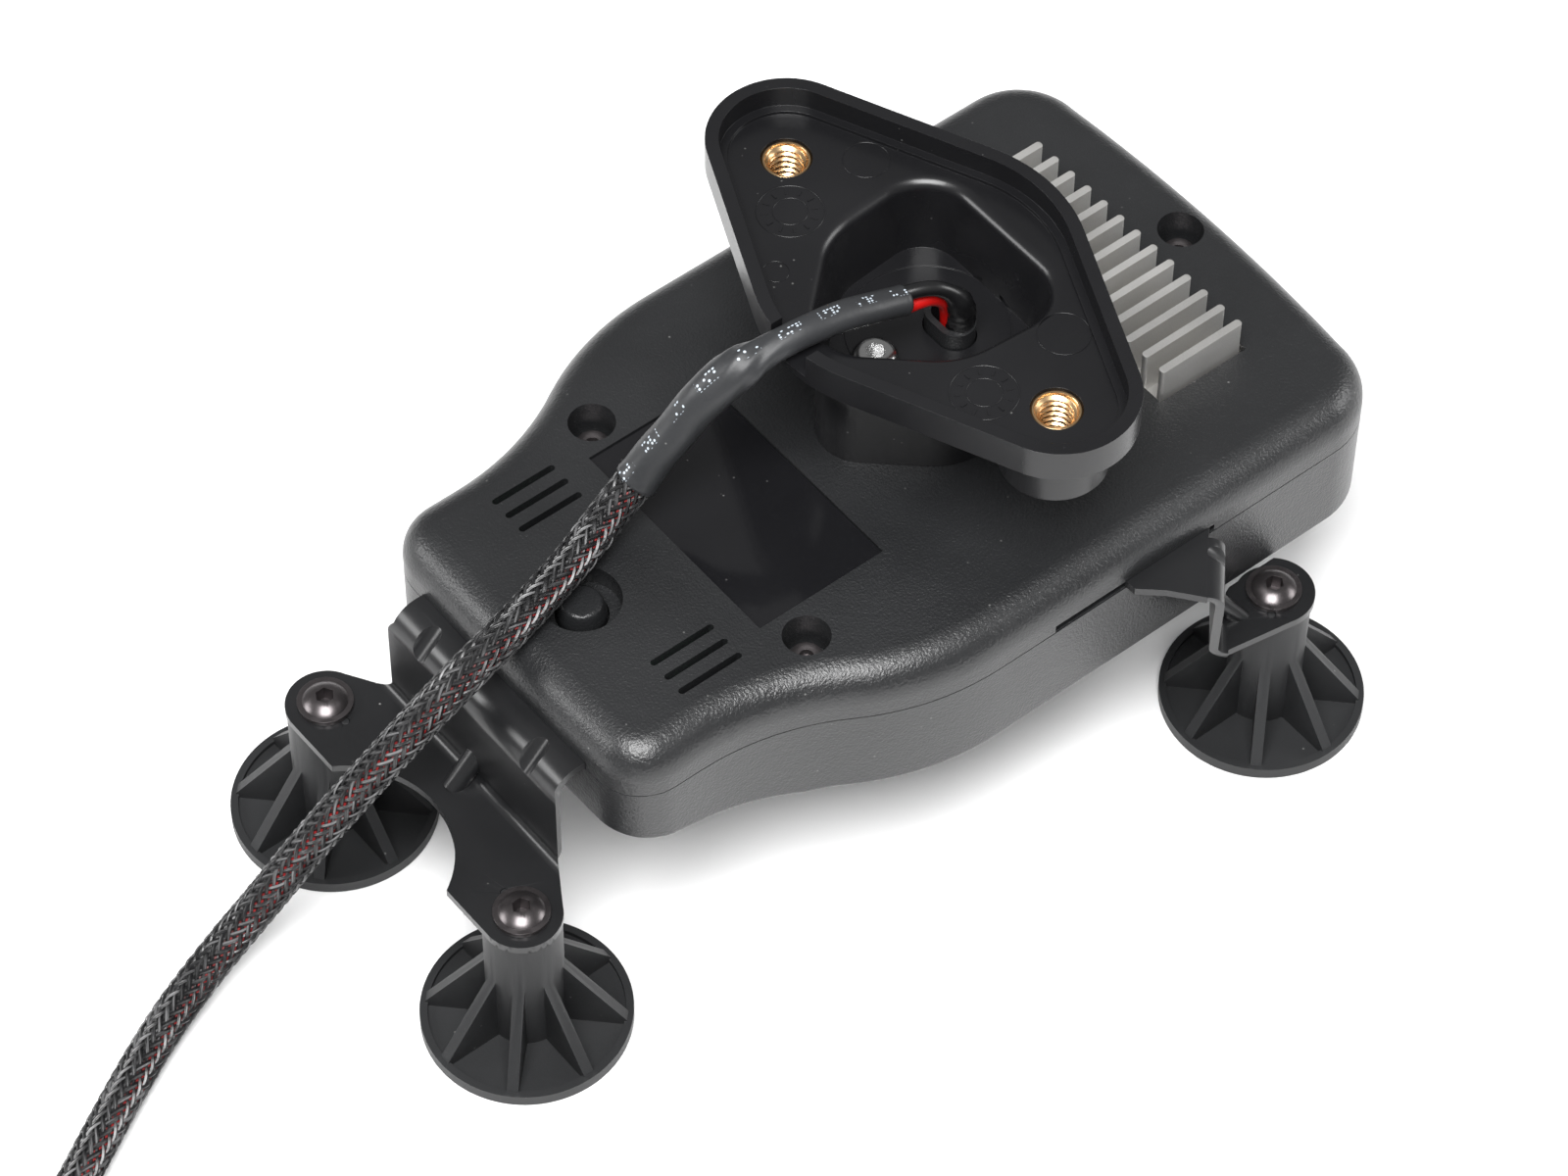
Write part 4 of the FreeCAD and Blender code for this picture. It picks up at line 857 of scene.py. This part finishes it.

# %% [markdown]
# ## Moulding marks on the flange
# The flange's floor keeps the marks of its mould: two date dials with twelve ticks, and the thin
# circles of ejector pins. The ticks of a dial repeat round a circle, so a Geometry Nodes tree
# places them. Dials here carry plain ticks and no letters.

# %% Build the dial tree
def dial_tree():
    """A ring of small upright bars, each turned to point at the middle."""
    tree = bpy.data.node_groups.new("ring_of_ticks", "GeometryNodeTree")
    face = tree.interface
    face.new_socket("Geometry", in_out="INPUT", socket_type="NodeSocketGeometry")
    for label, value in (("Radius", 0.004), ("Tick length", 0.0010), ("Tick width", 0.0003),
                         ("Tick height", 0.0002)):
        face.new_socket(label, in_out="INPUT", socket_type="NodeSocketFloat").default_value = value
    face.new_socket("Ticks", in_out="INPUT", socket_type="NodeSocketInt").default_value = 12
    face.new_socket("Place", in_out="INPUT", socket_type="NodeSocketVector")
    face.new_socket("Material", in_out="INPUT", socket_type="NodeSocketMaterial")
    face.new_socket("Geometry", in_out="OUTPUT", socket_type="NodeSocketGeometry")
    enter, leave = tree.nodes.new("NodeGroupInput"), tree.nodes.new("NodeGroupOutput")
    circle = tree.nodes.new("GeometryNodeMeshCircle")
    tick = tree.nodes.new("GeometryNodeMeshCube")
    size = tree.nodes.new("ShaderNodeCombineXYZ")
    scatter = tree.nodes.new("GeometryNodeInstanceOnPoints")
    turn = tree.nodes.new("ShaderNodeCombineXYZ")
    index = tree.nodes.new("GeometryNodeInputIndex")
    share = tree.nodes.new("ShaderNodeMath")
    share.operation = "DIVIDE"
    whole = tree.nodes.new("ShaderNodeMath")
    whole.operation = "MULTIPLY"
    whole.inputs[1].default_value = 2 * math.pi
    place = tree.nodes.new("GeometryNodeTransform")
    real = tree.nodes.new("GeometryNodeRealizeInstances")
    paint = tree.nodes.new("GeometryNodeSetMaterial")
    link = tree.links.new
    link(enter.outputs["Ticks"], circle.inputs["Vertices"])
    link(enter.outputs["Radius"], circle.inputs["Radius"])
    link(enter.outputs["Tick length"], size.inputs[0])
    link(enter.outputs["Tick width"], size.inputs[1])
    link(enter.outputs["Tick height"], size.inputs[2])
    link(size.outputs[0], tick.inputs["Size"])
    link(circle.outputs["Mesh"], scatter.inputs["Points"])
    link(tick.outputs["Mesh"], scatter.inputs["Instance"])
    link(index.outputs[0], share.inputs[0])
    link(enter.outputs["Ticks"], share.inputs[1])
    link(share.outputs[0], whole.inputs[0])
    link(whole.outputs[0], turn.inputs[2])
    link(turn.outputs[0], scatter.inputs["Rotation"])
    link(scatter.outputs["Instances"], place.inputs["Geometry"])
    link(enter.outputs["Place"], place.inputs["Translation"])
    link(place.outputs["Geometry"], real.inputs["Geometry"])
    link(real.outputs["Geometry"], paint.inputs["Geometry"])
    link(enter.outputs["Material"], paint.inputs["Material"])
    link(paint.outputs["Geometry"], leave.inputs["Geometry"])
    return tree


DIAL = dial_tree()
print("dial tree inputs", sum(item.in_out == "INPUT" for item in DIAL.interface.items_tree))

# %% [markdown]
# ## Place the marks
# A modifier runs the tree once and its result is kept as a plain mesh. The rings are small enough
# to be made point by point, each with a low rounded top.

# %% Make the moulding marks
def run_tree(name, tree, values):
    """The plain mesh that a Geometry Nodes tree makes with these inputs."""
    holder = bpy.data.objects.new(name + "_maker", bpy.data.meshes.new(name + "_maker"))
    bpy.context.scene.collection.objects.link(holder)
    worker = holder.modifiers.new("tree", "NODES")
    worker.node_group = tree
    for item in tree.interface.items_tree:
        if item.item_type == "SOCKET" and item.in_out == "INPUT" and item.name in values:
            worker[item.identifier] = values[item.name]
    bpy.context.view_layer.update()
    deps = bpy.context.evaluated_depsgraph_get()
    mesh = bpy.data.meshes.new_from_object(holder.evaluated_get(deps))
    mesh.name = name
    bpy.data.objects.remove(holder)
    piece = bpy.data.objects.new(name, mesh)
    bpy.context.scene.collection.objects.link(piece)
    return piece


def ring_mark(name, x, y, z, radius, width, height):
    """A thin raised ring with a rounded top, in millimetres."""
    around = 56
    section = [(-width / 2, -SUNK), (-width / 4, height), (width / 4, height), (width / 2, -SUNK)]
    angle = np.linspace(0, 2 * math.pi, around, endpoint=False)
    points, faces = [], []
    for a in angle:
        for shift, rise in section:
            r = radius + shift
            points.append(((x + r * math.cos(a)) * MM, (y + r * math.sin(a)) * MM,
                           (z + rise) * MM))
    for j in range(around):
        k = (j + 1) % around
        for i in range(4):
            n = (i + 1) % 4
            faces.append((j * 4 + i, j * 4 + n, k * 4 + n, k * 4 + i))
    piece = mesh_piece(name, points, faces)
    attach(piece, "pod")
    dress(piece, FINISHES["flange_plastic"])
    return piece


FLOOR_Z, SUNK, MARK_HEIGHT = 85.3, 0.1, 0.10
DIAL_X, DIAL_Y = 0.0198, 0.0245
MARKS = [
    ("dial_rim_left", 19.8, 24.5, 5.6, 0.28), ("dial_rim_right", 19.8, -24.5, 5.6, 0.28),
    ("dial_hub_left", 19.8, 24.5, 2.9, 0.22), ("dial_hub_right", 19.8, -24.5, 2.9, 0.22),
    ("pin_mark_a", 36.6, 25.6, 3.9, 0.18), ("pin_mark_b", 37.6, -23.0, 4.4, 0.18),
    ("pin_mark_c", 9.8, 15.8, 2.2, 0.16),
]
for name, x, y, radius, width in MARKS:
    ring_mark(name, x, y, FLOOR_Z, radius, width, MARK_HEIGHT)
for side, label in ((1, "left"), (-1, "right")):
    ticks = run_tree("dial_ticks_" + label, DIAL, {
        "Radius": 0.0042, "Tick length": 0.0011, "Tick width": 0.00035, "Tick height": 0.0003,
        "Ticks": 12, "Place": (DIAL_X, side * DIAL_Y, FLOOR_Z * MM),
        "Material": FINISHES["flange_plastic"]})
    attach(ticks, "pod")
print("moulding marks", len(MARKS) + 2)

# %% [markdown]
# ## Floor and light
# A plain pale sweep and large soft lights. Black plastic shows almost nothing but reflections, so
# the main panel hangs above and in front: flat tops stay deep and every rounded edge carries
# a soft bright band. Two small panels pick out the far edges.

# %% Lay the floor
FLOOR_HALF = 6


def floor():
    """A large pale square just under the feet."""
    corners = [(-FLOOR_HALF, -FLOOR_HALF, 0), (FLOOR_HALF, -FLOOR_HALF, 0),
               (FLOOR_HALF, FLOOR_HALF, 0), (-FLOOR_HALF, FLOOR_HALF, 0)]
    piece = mesh_piece("pale_floor", corners, [(0, 1, 2, 3)], smooth=False)
    made = bpy.data.materials.new("pale_floor")
    made.use_nodes = True
    shader = made.node_tree.nodes["Principled BSDF"]
    shader.inputs["Base Color"].default_value = (0.93, 0.93, 0.93, 1)
    shader.inputs["Roughness"].default_value = 0.9
    shader.inputs["Specular IOR Level"].default_value = 0.1
    dress(piece, made)
    piece.location.z = -0.0002
    return piece


floor()
print("floor laid, half side", FLOOR_HALF, "m")

# %% [markdown]
# ## Soft panels
# Each panel is a rectangle of light in the air, turned to face the pod. Its size sets how soft the
# shadows are and how wide a reflection it leaves along a rounded edge.

# %% Hang the lights
POD_MIDDLE = (0, 0, 0.05)


def panel(name, spot, size, power):
    """One rectangular light aimed at the pod."""
    data = bpy.data.lights.new(name, "AREA")
    data.shape = "RECTANGLE"
    data.size, data.size_y = size
    data.energy = power
    lamp = bpy.data.objects.new(name, data)
    lamp.location = spot
    aim = Vector(POD_MIDDLE) - Vector(spot)
    lamp.rotation_euler = aim.to_track_quat("-Z", "Y").to_euler()
    bpy.context.scene.collection.objects.link(lamp)


panel("overhead", (-0.42, -0.42, 1.30), (0.80, 0.80), 34)
panel("back_left", (-0.9, 0.7, 0.6), (0.6, 0.4), 6)
panel("right_side", (0.9, -0.5, 0.5), (0.5, 0.4), 4)
world = bpy.data.worlds.new("studio")
world.use_nodes = True
background = world.node_tree.nodes["Background"]
background.inputs["Color"].default_value = (1, 1, 1, 1)
background.inputs["Strength"].default_value = 0.24
bpy.context.scene.world = world
bpy.context.scene.view_settings.view_transform = "Standard"
print("lights", len(bpy.data.lights))

# %% [markdown]
# ## Finish
# The last cell only brings the scene up to date. The box round the finished model should match the
# CAD box, apart from the spread of a braid or the lip of a sleeve.

# %% Update the scene
bpy.context.view_layer.update()
